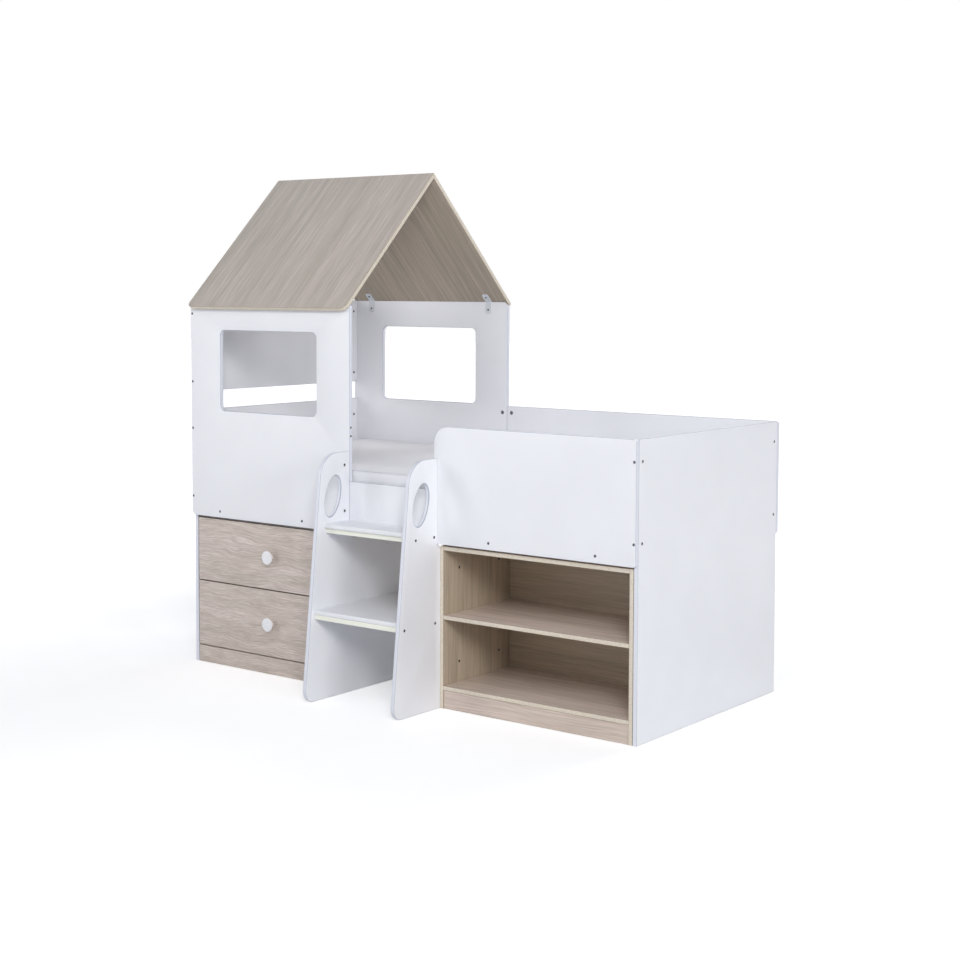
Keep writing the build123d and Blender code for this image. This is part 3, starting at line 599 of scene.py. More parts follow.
def arc_loop(corners: Sequence[Point], radii: Sequence[float], step: float = math.radians(7.5)) -> Loop:
    """Round the corners of a polygon.

    Args:
        corners: Corner points in order.
        radii: Radius at each corner; zero leaves it sharp.
        step: Largest turn between two points of an arc.

    Returns:
        The outline as a loop of points, anticlockwise.
    """
    if sum(a[0] * b[1] - b[0] * a[1] for a, b in zip(corners, [*corners[1:], corners[0]])) < 0:
        corners, radii = list(reversed(corners)), list(reversed(radii))
    loop: Loop = []
    for index, (corner, radius) in enumerate(zip(corners, radii)):
        here = Vector(corner)
        before = (Vector(corners[index - 1]) - here).normalized()
        after = (Vector(corners[(index + 1) % len(corners)]) - here).normalized()
        if not radius:
            loop.append((here.x, here.y))
            continue
        half = before.angle(after) / 2
        centre = here + (before + after).normalized() * (radius / math.sin(half))
        start = here + before * (radius / math.tan(half)) - centre
        turn = math.pi - 2 * half
        way = 1 if before.x * after.y - before.y * after.x < 0 else -1
        count = max(2, math.ceil(turn / step))
        for part in range(count + 1):
            spun = Matrix.Rotation(way * turn * part / count, 2) @ start + centre
            loop.append((spun.x, spun.y))
    return [p for p, q in zip(loop, [*loop[1:], loop[0]]) if math.dist(p, q) > WELD]


def rectangle(low: Point, high: Point, radii: Sequence[float] = (0, 0, 0, 0)) -> Loop:
    """A rectangle, anticlockwise from its lowest corner, with a radius at each corner."""
    return arc_loop([low, (high[0], low[1]), high, (low[0], high[1])], radii)


def circle_loop(centre: Point, radius: float, count: int = 24) -> Loop:
    """A circle as an anticlockwise loop of points."""
    turns = [2 * math.pi * index / count for index in range(count)]
    return [(centre[0] + radius * math.cos(t), centre[1] + radius * math.sin(t)) for t in turns]


def oval_loop(centre: Point, half: Point, tilt: float, count: int = 64) -> Loop:
    """A tilted oval as an anticlockwise loop of points.

    Args:
        centre: Middle of the oval.
        half: Half its width and half its height.
        tilt: Turn in radians, clockwise.
        count: Number of points.

    Returns:
        The loop.
    """
    turn = Matrix.Rotation(-tilt, 2)
    points = [turn @ Vector((half[0] * x, half[1] * y)) for x, y in circle_loop((0, 0), 1, count)]
    return [(centre[0] + p.x, centre[1] + p.y) for p in points]


def inset_loop(loop: Loop, inset: float) -> Loop:
    """Move a loop to its left by `inset`, into the board for an anticlockwise outline."""
    moved = []
    count = len(loop)
    for index, point in enumerate(loop):
        here = Vector(point)
        back = (here - Vector(loop[index - 1])).normalized()
        ahead = (Vector(loop[(index + 1) % count]) - here).normalized()
        left_back, left_ahead = Vector((-back.y, back.x)), Vector((-ahead.y, ahead.x))
        middle = (left_back + left_ahead).normalized()
        shift = middle * (inset / max(0.35, middle.dot(left_back)))
        moved.append((point[0] + shift.x, point[1] + shift.y))
    return moved


class Lie(Enum):
    """How a board lies: the world axes of its two drawing directions and of its thickness."""

    FACING_Y = (0, 2, 1)
    FACING_X = (1, 2, 0)
    FLAT = (0, 1, 2)


class Grain(Enum):
    """Which drawing direction the printed grain follows."""

    FIRST = 0
    SECOND = 1


@dataclass(frozen=True)
class Fitting:
    """A bolt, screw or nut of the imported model, known by its own box.

    Attributes:
        low: Lowest corner.
        high: Highest corner.
        axis: World axis that it lies along.
        head: Place of its head end on that axis.
    """

    low: Vector
    high: Vector
    axis: int
    head: float

    @classmethod
    def all_of(cls, node: str, axis: int | None = None) -> list["Fitting"]:
        """Find every separate fitting of one CAD node.

        Args:
            node: CAD node of a group of fittings.
            axis: World axis of all of them, where their box doesn't tell it.

        Returns:
            One fitting for each loose part of the node's mesh.
        """
        found = []
        for points in loose_parts(node):
            low = Vector([min(p[i] for p in points) for i in range(3)])
            high = Vector([max(p[i] for p in points) for i in range(3)])
            along = axis if axis is not None else max(range(3), key=lambda i: high[i] - low[i])
            found.append(cls(low, high, along, cls.wide_end(points, low, high, along)))
        return found

    @staticmethod
    def wide_end(points: Sequence[Vector], low: Vector, high: Vector, axis: int) -> float:
        """The end at which the fitting is widest."""
        def reach(end: float) -> float:
            near = [p for p in points if abs(p[axis] - end) < TOUCH]
            return max(abs(p[i] - (low[i] + high[i]) / 2) for p in near for i in range(3) if i != axis)
        return low[axis] if reach(low[axis]) >= reach(high[axis]) else high[axis]


def loose_parts(node: str) -> list[list[Vector]]:
    """Points of each separate solid in a CAD node's mesh."""
    mesh = bmesh.new()
    mesh.from_mesh(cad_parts[node].data)
    bmesh.ops.remove_doubles(mesh, verts=mesh.verts, dist=WELD)
    seen: set[bmesh.types.BMVert] = set()
    parts = []
    for start in mesh.verts:
        if start in seen:
            continue
        seen.add(start)
        queue, part = [start], []
        while queue:
            vert = queue.pop()
            part.append(vert.co.copy())
            for edge in vert.link_edges:
                other = edge.other_vert(vert)
                if other not in seen:
                    seen.add(other)
                    queue.append(other)
        parts.append(part)
    mesh.free()
    return parts


@dataclass(frozen=True)
class Bore:
    """A round hole from one face of a board.

    Attributes:
        centre: Middle in drawing coordinates.
        steps: Radius and depth pairs, from the face inwards.
        far_face: Whether it starts at the high face of the thickness.
        through: Whether the last radius goes on to the other face.
    """

    centre: Point
    steps: tuple[tuple[float, float], ...]
    far_face: bool = False
    through: bool = False


@dataclass(frozen=True)
class Cut:
    """An opening right through a board, with the radius of its eased rims."""

    loop: Loop
    ease: float


@dataclass(frozen=True)
class Dress:
    """The finishes of a board.

    Attributes:
        face: Both faces.
        edge: The edging round it.
        slot: Material slot of the record.
        seam: The rim where the edging meets a face, on most boards in a darker finish as painted shade.
        core: What a bore lays bare, by default drawn dark as painted shade.
    """

    face: Finish
    edge: Finish
    slot: str
    seam: Finish
    core: Finish = SHADED_RAW_BOARD


WHITE_DRESS = Dress(WHITE, WHITE_EDGE, "white_laminate", WHITE_RIM_SHADE)
TREAD_DRESS = Dress(WHITE, WHITE, "white_laminate", WHITE)
BATTEN_DRESS = Dress(GLOW_STRIP, GLOW_STRIP, "pale_green_strip", WHITE_RIM_SHADE)
ROOF_DRESS = Dress(ROOF_ASH, ASH_EDGE, "ash_laminate", ASH_RIM_SHADE)
SHADED_REAR_DRESS = Dress(SHADED_REAR_ASH, ASH_EDGE, "ash_laminate", ASH_RIM_SHADE)
FRONT_DRESS = Dress(FRONT_ASH, FRONT_GAP_SHADE_EDGE, "ash_laminate", FRONT_GAP_SHADE_EDGE)
PLINTH_DRESS = Dress(FRONT_ASH, FRONT_ASH, "ash_laminate", ASH_RIM_SHADE)
SHADED_SIDE_DRESS = Dress(SHADED_SIDE_ASH, ASH_EDGE, "ash_laminate", ASH_RIM_SHADE)
LIT_LEVEL_DRESS = Dress(LIT_LEVEL_ASH, ASH_EDGE, "ash_laminate", ASH_RIM_SHADE)
BOX_DRESS = Dress(FOIL, FOIL, "drawer_board", FOIL)


@dataclass
class Board:
    """A flat board with eased edges that stands for one CAD node.

    Attributes:
        node: CAD node that gives its place, and that it replaces.
        dress: Its finishes.
        lie: How it lies.
        grain: Direction of its printed grain.
        body: CAD body that it rides on.
        outline: Outline in drawing coordinates; the node's box where there is none.
        cuts: Openings through it.
        bores: Holes beside those of the bolts, nuts and cams that the model has.
        ease: Radius of its edges.
        shape: Last change to a point in drawing coordinates and depth.
        limits: Box in drawing coordinates and depth, where the node's own box isn't the board.
        nuts_far: Whether the pockets of its barrel nuts open at the high face.
        place: Matrix from drawing coordinates and depth to the world, where `lie` doesn't say it.
    """

    node: str
    dress: Dress = WHITE_DRESS
    lie: Lie = Lie.FACING_Y
    grain: Grain = Grain.FIRST
    body: str = BED
    outline: Loop | None = None
    cuts: list[Cut] = field(default_factory=list)
    bores: list[Bore] = field(default_factory=list)
    ease: float = 1.0 * MM
    shape: Callable[[Vector], Vector] | None = None
    limits: tuple[Vector, Vector] | None = None
    nuts_far: bool = True
    place: Matrix | None = None

    EASE_STEPS = 3
    GRAIN_STEP = 0.137
    NUT_AXIS = 0
    BOLT_GAP = 0.1 * MM
    BOLT_SHANK = 3.0 * MM
    BOLT_HEAD = 3.0 * MM

    def build(self, fittings: Iterable[Fitting] = ()) -> bpy.types.Object:
        """Make the board, dress it and let it stand for its node.

        Args:
            fittings: Bolts, nuts and cams whose bores it gets where they pass through its faces.

        Returns:
            The finished piece.
        """
        low, high = self.box()
        self.depth = (low.z, high.z)
        outline = self.outline or rectangle((low.x, low.y), (high.x, high.y))
        mesh = bmesh.new()
        caps: tuple[list, list] = ([], [])
        self.skirt(mesh, outline, self.ease, caps)
        for cut in self.cuts:
            self.skirt(mesh, list(reversed(cut.loop)), cut.ease, caps)
        for bore in [*self.bores, *self.fitting_bores(fittings, low, high)]:
            self.bore(mesh, bore, caps)
        for edges in caps:
            filled = bmesh.ops.triangle_fill(mesh, use_beauty=True, use_dissolve=False, edges=edges,
                                             normal=(0, 0, 1))
            for face in filled["geom"]:
                if isinstance(face, bmesh.types.BMFace):
                    face.material_index = 0
                    face.smooth = False
        bmesh.ops.recalc_face_normals(mesh, faces=mesh.faces)
        return self.piece(mesh, low)

    def box(self) -> tuple[Vector, Vector]:
        """Lowest and highest corner in drawing coordinates and depth."""
        if self.limits:
            return self.limits
        low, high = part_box(self.node)
        axes = self.lie.value
        return Vector([low[a] for a in axes]), Vector([high[a] for a in axes])

    def ring(self, mesh: bmesh.types.BMesh, loop: Loop, depth: float) -> list[bmesh.types.BMVert]:
        """Add the points of a loop at one depth."""
        return [mesh.verts.new((x, y, depth)) for x, y in loop]

    def wall(self, mesh: bmesh.types.BMesh, one: list, other: list, material: int) -> None:
        """Join two rings of points with a band of faces."""
        for index in range(len(one)):
            after = (index + 1) % len(one)
            face = mesh.faces.new((one[index], one[after], other[after], other[index]))
            face.material_index = material
            face.smooth = True

    def rim(self, mesh: bmesh.types.BMesh, ring: list) -> list[bmesh.types.BMEdge]:
        """The edges round a ring."""
        pairs = zip(ring, [*ring[1:], ring[0]])
        return [mesh.edges.get(pair) or mesh.edges.new(pair) for pair in pairs]

    def skirt(self, mesh: bmesh.types.BMesh, loop: Loop, ease: float, caps: tuple[list, list]) -> None:
        """Add the edge of the board along one loop, rounded at both faces.

        Args:
            mesh: Mesh under construction.
            loop: Loop with the board on its left.
            ease: Radius at the faces.
            caps: Open edges of the low and the high face, which grow.
        """
        near, far = self.depth
        turns = [math.pi / 2 * step / self.EASE_STEPS for step in range(self.EASE_STEPS + 1)]
        levels = [(ease * (1 - math.sin(t)), near + ease * (1 - math.cos(t))) for t in turns]
        levels += [(inset, near + far - depth) for inset, depth in reversed(levels)]
        rings = [self.ring(mesh, inset_loop(loop, inset), depth) for inset, depth in levels]
        for index, (one, other) in enumerate(zip(rings, rings[1:])):
            # The eased rims take the seam finish, on most boards a painted shade of the rounded edge
            self.wall(mesh, one, other, 1 if index == self.EASE_STEPS else 3)
        caps[0].extend(self.rim(mesh, rings[0]))
        caps[1].extend(self.rim(mesh, rings[-1]))

    def bore(self, mesh: bmesh.types.BMesh, bore: Bore, caps: tuple[list, list]) -> None:
        """Add the wall and floor of one bore."""
        near, far = self.depth
        start, way = (far, -1) if bore.far_face else (near, 1)
        profile = []
        level = 0.0
        for radius, depth in bore.steps:
            profile += [(radius, level), (radius, depth)]
            level = depth
        if bore.through:
            profile[-1] = (profile[-1][0], far - near)
        rings = [self.ring(mesh, circle_loop(bore.centre, radius), start + way * depth)
                 for radius, depth in profile]
        for one, other in zip(rings, rings[1:]):
            self.wall(mesh, one, other, 2)
        caps[int(bore.far_face)].extend(self.rim(mesh, rings[0]))
        if bore.through:
            caps[int(not bore.far_face)].extend(self.rim(mesh, rings[-1]))
        else:
            mesh.faces.new(rings[-1]).material_index = 2

    def fitting_bores(self, fittings: Iterable[Fitting], low: Vector, high: Vector) -> list[Bore]:
        """Bores for the fittings that cross the faces of this board.

        Args:
            fittings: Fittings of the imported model.
            low: Lowest corner in drawing coordinates and depth.
            high: Highest corner.

        Returns:
            One bore for each fitting that lies square to the faces and inside the outline.
        """
        first, second, through = self.lie.value
        bores = []
        for fitting in fittings:
            middle = (fitting.low + fitting.high) / 2
            centre = (middle[first], middle[second])
            inside = low.x < centre[0] < high.x and low.y < centre[1] < high.y
            start, end = fitting.low[through], fitting.high[through]
            if fitting.axis != through or not inside or start > high.z - TOUCH or end < low.z + TOUCH:
                continue
            radius = (fitting.high[first] - fitting.low[first]) / 2
            bores.append(self.bore_for(fitting, centre, radius, low.z, high.z))
        return bores

    def bore_for(self, fitting: Fitting, centre: Point, radius: float, near: float, far: float) -> Bore:
        """The recess, clearance hole or pocket of one fitting.

        Args:
            fitting: The fitting.
            centre: Its middle in drawing coordinates.
            radius: Its largest radius.
            near: Depth of the board's low face.
            far: Depth of its high face.

        Returns:
            The bore.
        """
        start, end = fitting.low[fitting.axis], fitting.high[fitting.axis]
        if end - start < far - near:
            is_nut = fitting.axis == self.NUT_AXIS
            from_far = self.nuts_far if is_nut else far - end < start - near
            depth = far - start if from_far else end - near
            return Bore(centre, ((radius, depth),), far_face=from_far)
        shank = self.BOLT_SHANK + self.BOLT_GAP
        head_inside = near - MM < fitting.head < far + MM
        if not head_inside:
            if start < near and end > far:
                return Bore(centre, ((shank, far - near),), through=True)
            from_far = end > far
            return Bore(centre, ((shank, far - start if from_far else end - near),), far_face=from_far)
        from_far = far - fitting.head < fitting.head - near
        sunk = (far - fitting.head if from_far else fitting.head - near) + self.BOLT_HEAD
        return Bore(centre, ((radius + self.BOLT_GAP, sunk), (shank, far - near)), from_far, through=True)

    def piece(self, mesh: bmesh.types.BMesh, low: Vector) -> bpy.types.Object:
        """Turn the finished mesh into a dressed piece of the scene.

        Args:
            mesh: Mesh in drawing coordinates.
            low: Lowest corner, from which the grain is measured.

        Returns:
            The piece.
        """
        grain = [self.grain_of(vert.co - low) for vert in mesh.verts]
        for vert in mesh.verts:
            vert.co = self.in_world(self.shape(vert.co) if self.shape else vert.co)
        bmesh.ops.recalc_face_normals(mesh, faces=mesh.faces)
        made = make_piece(self.node + "_board", mesh)
        data = made.data
        data.set_sharp_from_angle(angle=BOARD_CREASE)
        attribute = data.attributes.new("grain", "FLOAT_VECTOR", "POINT")
        attribute.data.foreach_set("vector", [part for point in grain for part in point])
        for finish in (self.dress.face, self.dress.edge, self.dress.core, self.dress.seam):
            data.materials.append(finish.material())
        return stand_for(made, self.body, self.dress.slot, self.node)

    def grain_of(self, point: Vector) -> tuple[float, float, float]:
        """Metres along, across and through the grain, with an offset of the board's own."""
        offset = sum(map(ord, self.node)) * self.GRAIN_STEP
        along, across = (point.x, point.y) if self.grain is Grain.FIRST else (point.y, point.x)
        return along + offset, across + offset, point.z + offset

    def in_world(self, point: Vector) -> Vector:
        """Take a point from drawing coordinates and depth to the world."""
        if self.place:
            return self.place @ point
        world = Vector((0, 0, 0))
        for value, axis in zip(point, self.lie.value):
            world[axis] = value
        return world


def stand_for(piece: bpy.types.Object, body: str, slot: str, *nodes: str) -> bpy.types.Object:
    """Let a piece ride on a body and replace CAD nodes.

    Args:
        piece: Finished piece.
        body: CAD body.
        slot: Material slot of the record; not used.
        nodes: CAD nodes that it stands for.

    Returns:
        The same piece.
    """
    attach(piece, body)
    if nodes:
        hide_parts(*nodes)
    log.info("%s: %d faces on %s", piece.name, len(piece.data.polygons), body)
    return piece


def dress_node(node: str, finish: Finish) -> None:
    """Give a CAD node that stays its finish."""
    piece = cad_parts[node]
    piece.data.materials.clear()
    piece.data.materials.append(finish.material())
    log.info("%s stays, in %s", node, finish.name)


@dataclass
class Fittings:
    """Bolts, nuts, cams, brackets and their screws, which keep their CAD shapes."""

    bolts: list[Fitting] = field(default_factory=list)
    pockets: list[Fitting] = field(default_factory=list)

    CAM_WIDTH = 15 * MM
    FINISHES = {"frame_bolts": BOLT_STEEL, "unit_screws": BOLT_STEEL, "barrel_nuts": ZINC, "tee_nuts": ZINC,
                "joint_cams": ZINC, "joint_dowels": BEECH, "bracket_screws": SCREW_STEEL,
                "roof_brackets": STRAP_STEEL}

    def find(self) -> "Fittings":
        """Read the fittings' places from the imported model."""
        self.bolts = Fitting.all_of("frame_bolts") + Fitting.all_of("unit_screws")
        nuts = Fitting.all_of("barrel_nuts", axis=Board.NUT_AXIS)
        joint_parts = Fitting.all_of("joint_cams", axis=1)
        cams = [part for part in joint_parts if part.high.x - part.low.x < self.CAM_WIDTH + MM]
        self.pockets = nuts + cams
        return self

    @property
    def all(self) -> list[Fitting]:
        """Every fitting that leaves a bore in a board."""
        return self.bolts + self.pockets

    def dress(self) -> None:
        """Give every fitting its metal or wood."""
        for node, finish in self.FINISHES.items():
            dress_node(node, finish)


@dataclass
class House:
    """The little house at the head: two walls with windows and the boards of the head end.

    Attributes:
        corner: Radius of the walls' corners.
        window_width: Width of each window, in the middle of its wall.
        window_base: Height of its lower edge.
        window_top: Height of its upper edge.
        window_corner: Radius of its corners.
        window_ease: Rounding of its rims.
    """

    corner: float = 20 * MM
    window_width: float = 485 * MM
    window_base: float = 964 * MM
    window_top: float = 1264 * MM
    window_corner: float = 22 * MM
    window_ease: float = 1.5 * MM

    def build(self, fittings: Fittings) -> None:
        """Make both walls and the head end."""
        for node, outer_is_far in (("house_front_panel", False), ("house_rear_panel", True)):
            low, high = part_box(node)
            middle = (low.x + high.x) / 2
            half = self.window_width / 2
            outline = rectangle((low.x, low.z), (high.x, high.z), [self.corner] * 4)
            window = rectangle((middle - half, self.window_base), (middle + half, self.window_top),
                               [self.window_corner] * 4)
            inner = low.y if outer_is_far else high.y
            board = Board(node, outline=outline, cuts=[Cut(window, self.window_ease)])
            board.shape = lambda point, top=high.z, inner=inner: self.under_roof(point, top, inner)
            if not outer_is_far:
                board.bores = [OpenJoint(high.x).cam_bore(-1)]
            made = board.build(fittings.all)
            if not outer_is_far:
                OpenJoint(high.x).cut_edge(made, -1)
        for node in ("head_end_panel", "head_end_upper_board"):
            Board(node, lie=Lie.FACING_X).build(fittings.all)

    @staticmethod
    def under_roof(point: Vector, top: float, inner: float) -> Vector:
        """Cut the wall's top edge to the slope of the roof, which falls one to one."""
        return Vector((point.x, min(point.y, top - ROOF_GAP - abs(point.z - inner)), point.z))


@dataclass
class OpenJoint:
    """The bores of a panel joint that no second panel fills, over the low rail.

    Attributes:
        x: Place of the joint along the bed.
        level: Height of the cam bore.
        dowel_level: Height of the dowel hole.
        cam_offset: Distance of the cam bore from the joint.
        cam_radius: Radius of the cam bore.
        cam_depth: Its depth.
        rod_radius: Radius of the hole for the connecting rod.
        dowel_radius: Radius of the dowel hole.
        dowel_depth: Its depth.
    """

    x: float
    level: float = 934 * MM
    dowel_level: float = 904 * MM
    cam_offset: float = 22 * MM
    cam_radius: float = 7.5 * MM
    cam_depth: float = 12 * MM
    rod_radius: float = 3.6 * MM
    dowel_radius: float = 4 * MM
    dowel_depth: float = 15 * MM

    def cam_bore(self, side: int) -> Bore:
        """The round bore in the inner face, `side` being -1 or 1 along the bed from the joint."""
        centre = (self.x + side * self.cam_offset, self.level)
        return Bore(centre, ((self.cam_radius, self.cam_depth),), far_face=True)

    def cut_edge(self, piece: bpy.types.Object, side: int) -> None:
        """Cut the rod hole and the dowel hole into the edge of a front board.

        Args:
            piece: Board to cut.
            side: -1 where the board ends at the joint, 1 where it starts there.
        """
        low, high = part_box("access_rail")
        middle = (low.y + high.y) / 2
        for level, radius, depth in ((self.level, self.rod_radius, self.cam_offset - self.cam_radius / 2),
                                     (self.dowel_level, self.dowel_radius, self.dowel_depth)):
            cutter = bmesh.new()
            reach = 2 * MM
            centre = Matrix.Translation((self.x + side * (depth - reach) / 2, middle, level))
            turned = centre @ Matrix.Rotation(math.pi / 2, 4, "Y")
            bmesh.ops.create_cone(cutter, cap_ends=True, segments=24, radius1=radius, radius2=radius,
                                  depth=depth + reach, matrix=turned)
            for face in cutter.faces:
                face.material_index = 2
            cut_away(piece, cutter)


def cut_away(piece: bpy.types.Object, cutter: bmesh.types.BMesh) -> None:
    """Take a small closed form out of a piece.

    Args:
        piece: Piece that is cut.
        cutter: Form to take out, which is used up.
    """
    tool = make_piece("cutter", cutter)
    data = tool.data
    for material in piece.data.materials:
        data.materials.append(material)
    modifier = piece.modifiers.new("cut", "BOOLEAN")
    modifier.object = tool
    modifier.solver = "EXACT"
    graph = bpy.context.evaluated_depsgraph_get()
    result = bpy.data.meshes.new_from_object(piece.evaluated_get(graph))
    piece.modifiers.clear()
    old = piece.data
    piece.data = result
    bpy.data.meshes.remove(old)
    bpy.data.objects.remove(tool)
    bpy.data.meshes.remove(data)


@dataclass
class Roof:
    """Two boards on the slopes of the house, butted at the ridge.

    Attributes:
        thick: Thickness of a board.
        corner: Radius of its two corners at the eaves.
    """

    thick: float = 15 * MM
    corner: float = 25 * MM

    def build(self) -> None:
        """Make the front board, which covers the ridge, and the rear one under it."""
        _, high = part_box("roof_front_board")
        ridge = Vector((0, self.ridge_depth(), high.z))
        for node, dress, way, skipped in (("roof_front_board", ROOF_DRESS, -1, 0.0),
                                          ("roof_rear_board", SHADED_REAR_DRESS, 1, self.thick)):
            slope = Vector((0, way, -1)).normalized()
            normal = Vector((0, way, 1)).normalized()
            turn = Matrix((Vector((1, 0, 0)), slope, normal)).transposed().to_4x4()
            place = Matrix.Translation(ridge) @ turn
            box_low, box_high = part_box(node)
            reach = self.reach(node, ridge, slope)
            outline = rectangle((box_low.x, skipped), (box_high.x, reach), [0, 0, self.corner, self.corner])
            limits = (Vector((box_low.x, skipped, -self.thick)), Vector((box_high.x, reach, 0)))
            Board(node, dress, grain=Grain.SECOND, outline=outline, limits=limits, place=place).build()

    @staticmethod
    def ridge_depth() -> float:
        """The ridge runs over the middle of the bed's depth."""
        low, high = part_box("head_end_panel")
        return (low.y + high.y) / 2

    @staticmethod
    def reach(node: str, ridge: Vector, slope: Vector) -> float:
        """Distance from the ridge to the eaves of a board along its slope."""
        return max((vert.co - ridge).dot(slope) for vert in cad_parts[node].data.vertices)


@dataclass
class SidePanels:
    """Guards, the low rail across the way in and the foot end.

    Attributes:
        big_corner: Radius of the guard's corner beside the ladder.
        small_corner: Radius of the other corners.
    """

    big_corner: float = 58 * MM
    small_corner: float = 10 * MM

    def build(self, fittings: Fittings) -> None:
        """Make the boards."""
        for node, upper_left in (("front_guard_panel", self.big_corner),
                                 ("rear_guard_panel", self.small_corner)):
            low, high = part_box(node)
            radii = [self.small_corner] * 3 + [upper_left]
            outline = rectangle((low.x, low.z), (high.x, high.z), radii)
            joint = OpenJoint(low.x)
            front = node.startswith("front")
            board = Board(node, outline=outline, bores=[joint.cam_bore(1)] if front else [])
            made = board.build(fittings.all)
            if front:
                joint.cut_edge(made, 1)
        Board("access_rail").build(fittings.all)
        Board("foot_end_panel", lie=Lie.FACING_X).build(fittings.all)


@dataclass
class Ladder:
    """Two cheeks with oval grips that run on under the bed, two treads and their battens.

    Attributes:
        lean: Slope of the front edge from upright.
        top_corner: Radius at the top.
        foot_corner: Radius at the floor.
        shelf: Height of the part under the bed.
        panel_base: Height of the side panels' lower edge, where the shoulder tucks under.
        grip: Middle of the oval grip, as distance in front of the side panels' inner face and height.
        grip_half: Half its width and half its height.
        grip_tilt: Its tilt from upright.
        nose: Rounding of a tread's front edge.
        tread_back: Rounding of its back edge.
        tread_ease: Rounding of its ends.
        grip_ease: Rounding of a grip's rims.
    """

    lean: float = math.radians(6)
    top_corner: float = 85 * MM
    foot_corner: float = 40 * MM
    shelf: float = 547 * MM
    panel_base: float = 562 * MM
    grip: Point = (101 * MM, 702 * MM)
    grip_half: Point = (37 * MM, 73 * MM)
    grip_tilt: float = math.radians(16)
    nose: float = 3 * MM
    tread_back: float = 0.5 * MM
    tread_ease: float = 0.3 * MM
    grip_ease: float = 3 * MM

    def build(self, fittings: Fittings) -> None:
        """Make cheeks, treads and battens."""
        rail_low, rail_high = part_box("access_rail")
        for node in ("ladder_cheek_left", "ladder_cheek_right"):
            low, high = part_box(node)
            outline = self.cheek(low, high, rail_low.y, rail_high.y)
            grip = oval_loop((rail_high.y - self.grip[0], self.grip[1]), self.grip_half, self.grip_tilt)
            board = Board(node, lie=Lie.FACING_X, outline=outline, cuts=[Cut(grip, self.grip_ease)])
            board.nuts_far = node.endswith("left")
            board.build(fittings.all)
        for node in ("upper_tread", "lower_tread"):
            self.tread(node)
        for node in ("upper_front_batten", "lower_front_batten"):
            Board(node, BATTEN_DRESS).build()
        dress_node("tread_rear_battens", WHITE_EDGE)

    def cheek(self, low: Vector, high: Vector, panel_front: float, panel_back: float) -> Loop:
        """Outline of a cheek in depth and height.

        Args:
            low: Lowest corner of the cheek's node.
            high: Highest corner.
            panel_front: Front face of the side panels.
            panel_back: Their inner face.

        Returns:
            The outline as a loop.
        """
        rise = math.tan(self.lean)
        rounding = self.foot_corner * (rise + 1 / math.cos(self.lean) - 1)
        foot = low.y - rounding
        top_front = foot + high.z * rise
        shoulder = self.panel_base - self.shelf
        corners = [(foot, 0), (high.y, 0), (high.y, self.shelf), (panel_back, self.shelf),
                   (panel_back, self.panel_base), (panel_front, self.panel_base), (panel_front, high.z),
                   (top_front, high.z)]
        return arc_loop(corners, [self.foot_corner, 0, 0, 0, shoulder, 0, 0, self.top_corner])

    def tread(self, node: str) -> None:
        """A tread drawn in depth and height, with a rounded front edge."""
        low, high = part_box(node)
        radii = [self.nose, self.tread_back, self.tread_back, self.nose]
        outline = rectangle((low.y, low.z), (high.y, high.z), radii)
        Board(node, TREAD_DRESS, Lie.FACING_X, outline=outline, ease=self.tread_ease).build()


@dataclass
class Chest:
    """Carcass of the two-drawer chest, and its drawers."""

    sides: tuple[str, ...] = ("chest_left_side", "chest_right_side")
    levels: tuple[str, ...] = ("chest_bottom", "chest_top")

    def build(self, fittings: Fittings) -> None:
        """Make the carcass and both drawers."""
        for node in self.sides:
            Board(node, lie=Lie.FACING_X).build(fittings.all)
        for node in self.levels:
            Board(node, lie=Lie.FLAT).build()
        Board("chest_back").build()
        Board("chest_plinth", PLINTH_DRESS).build()
        dress_node("cabinet_runners", RUNNER_ENAMEL)
        for name in ("upper", "lower"):
            Drawer(name).build()


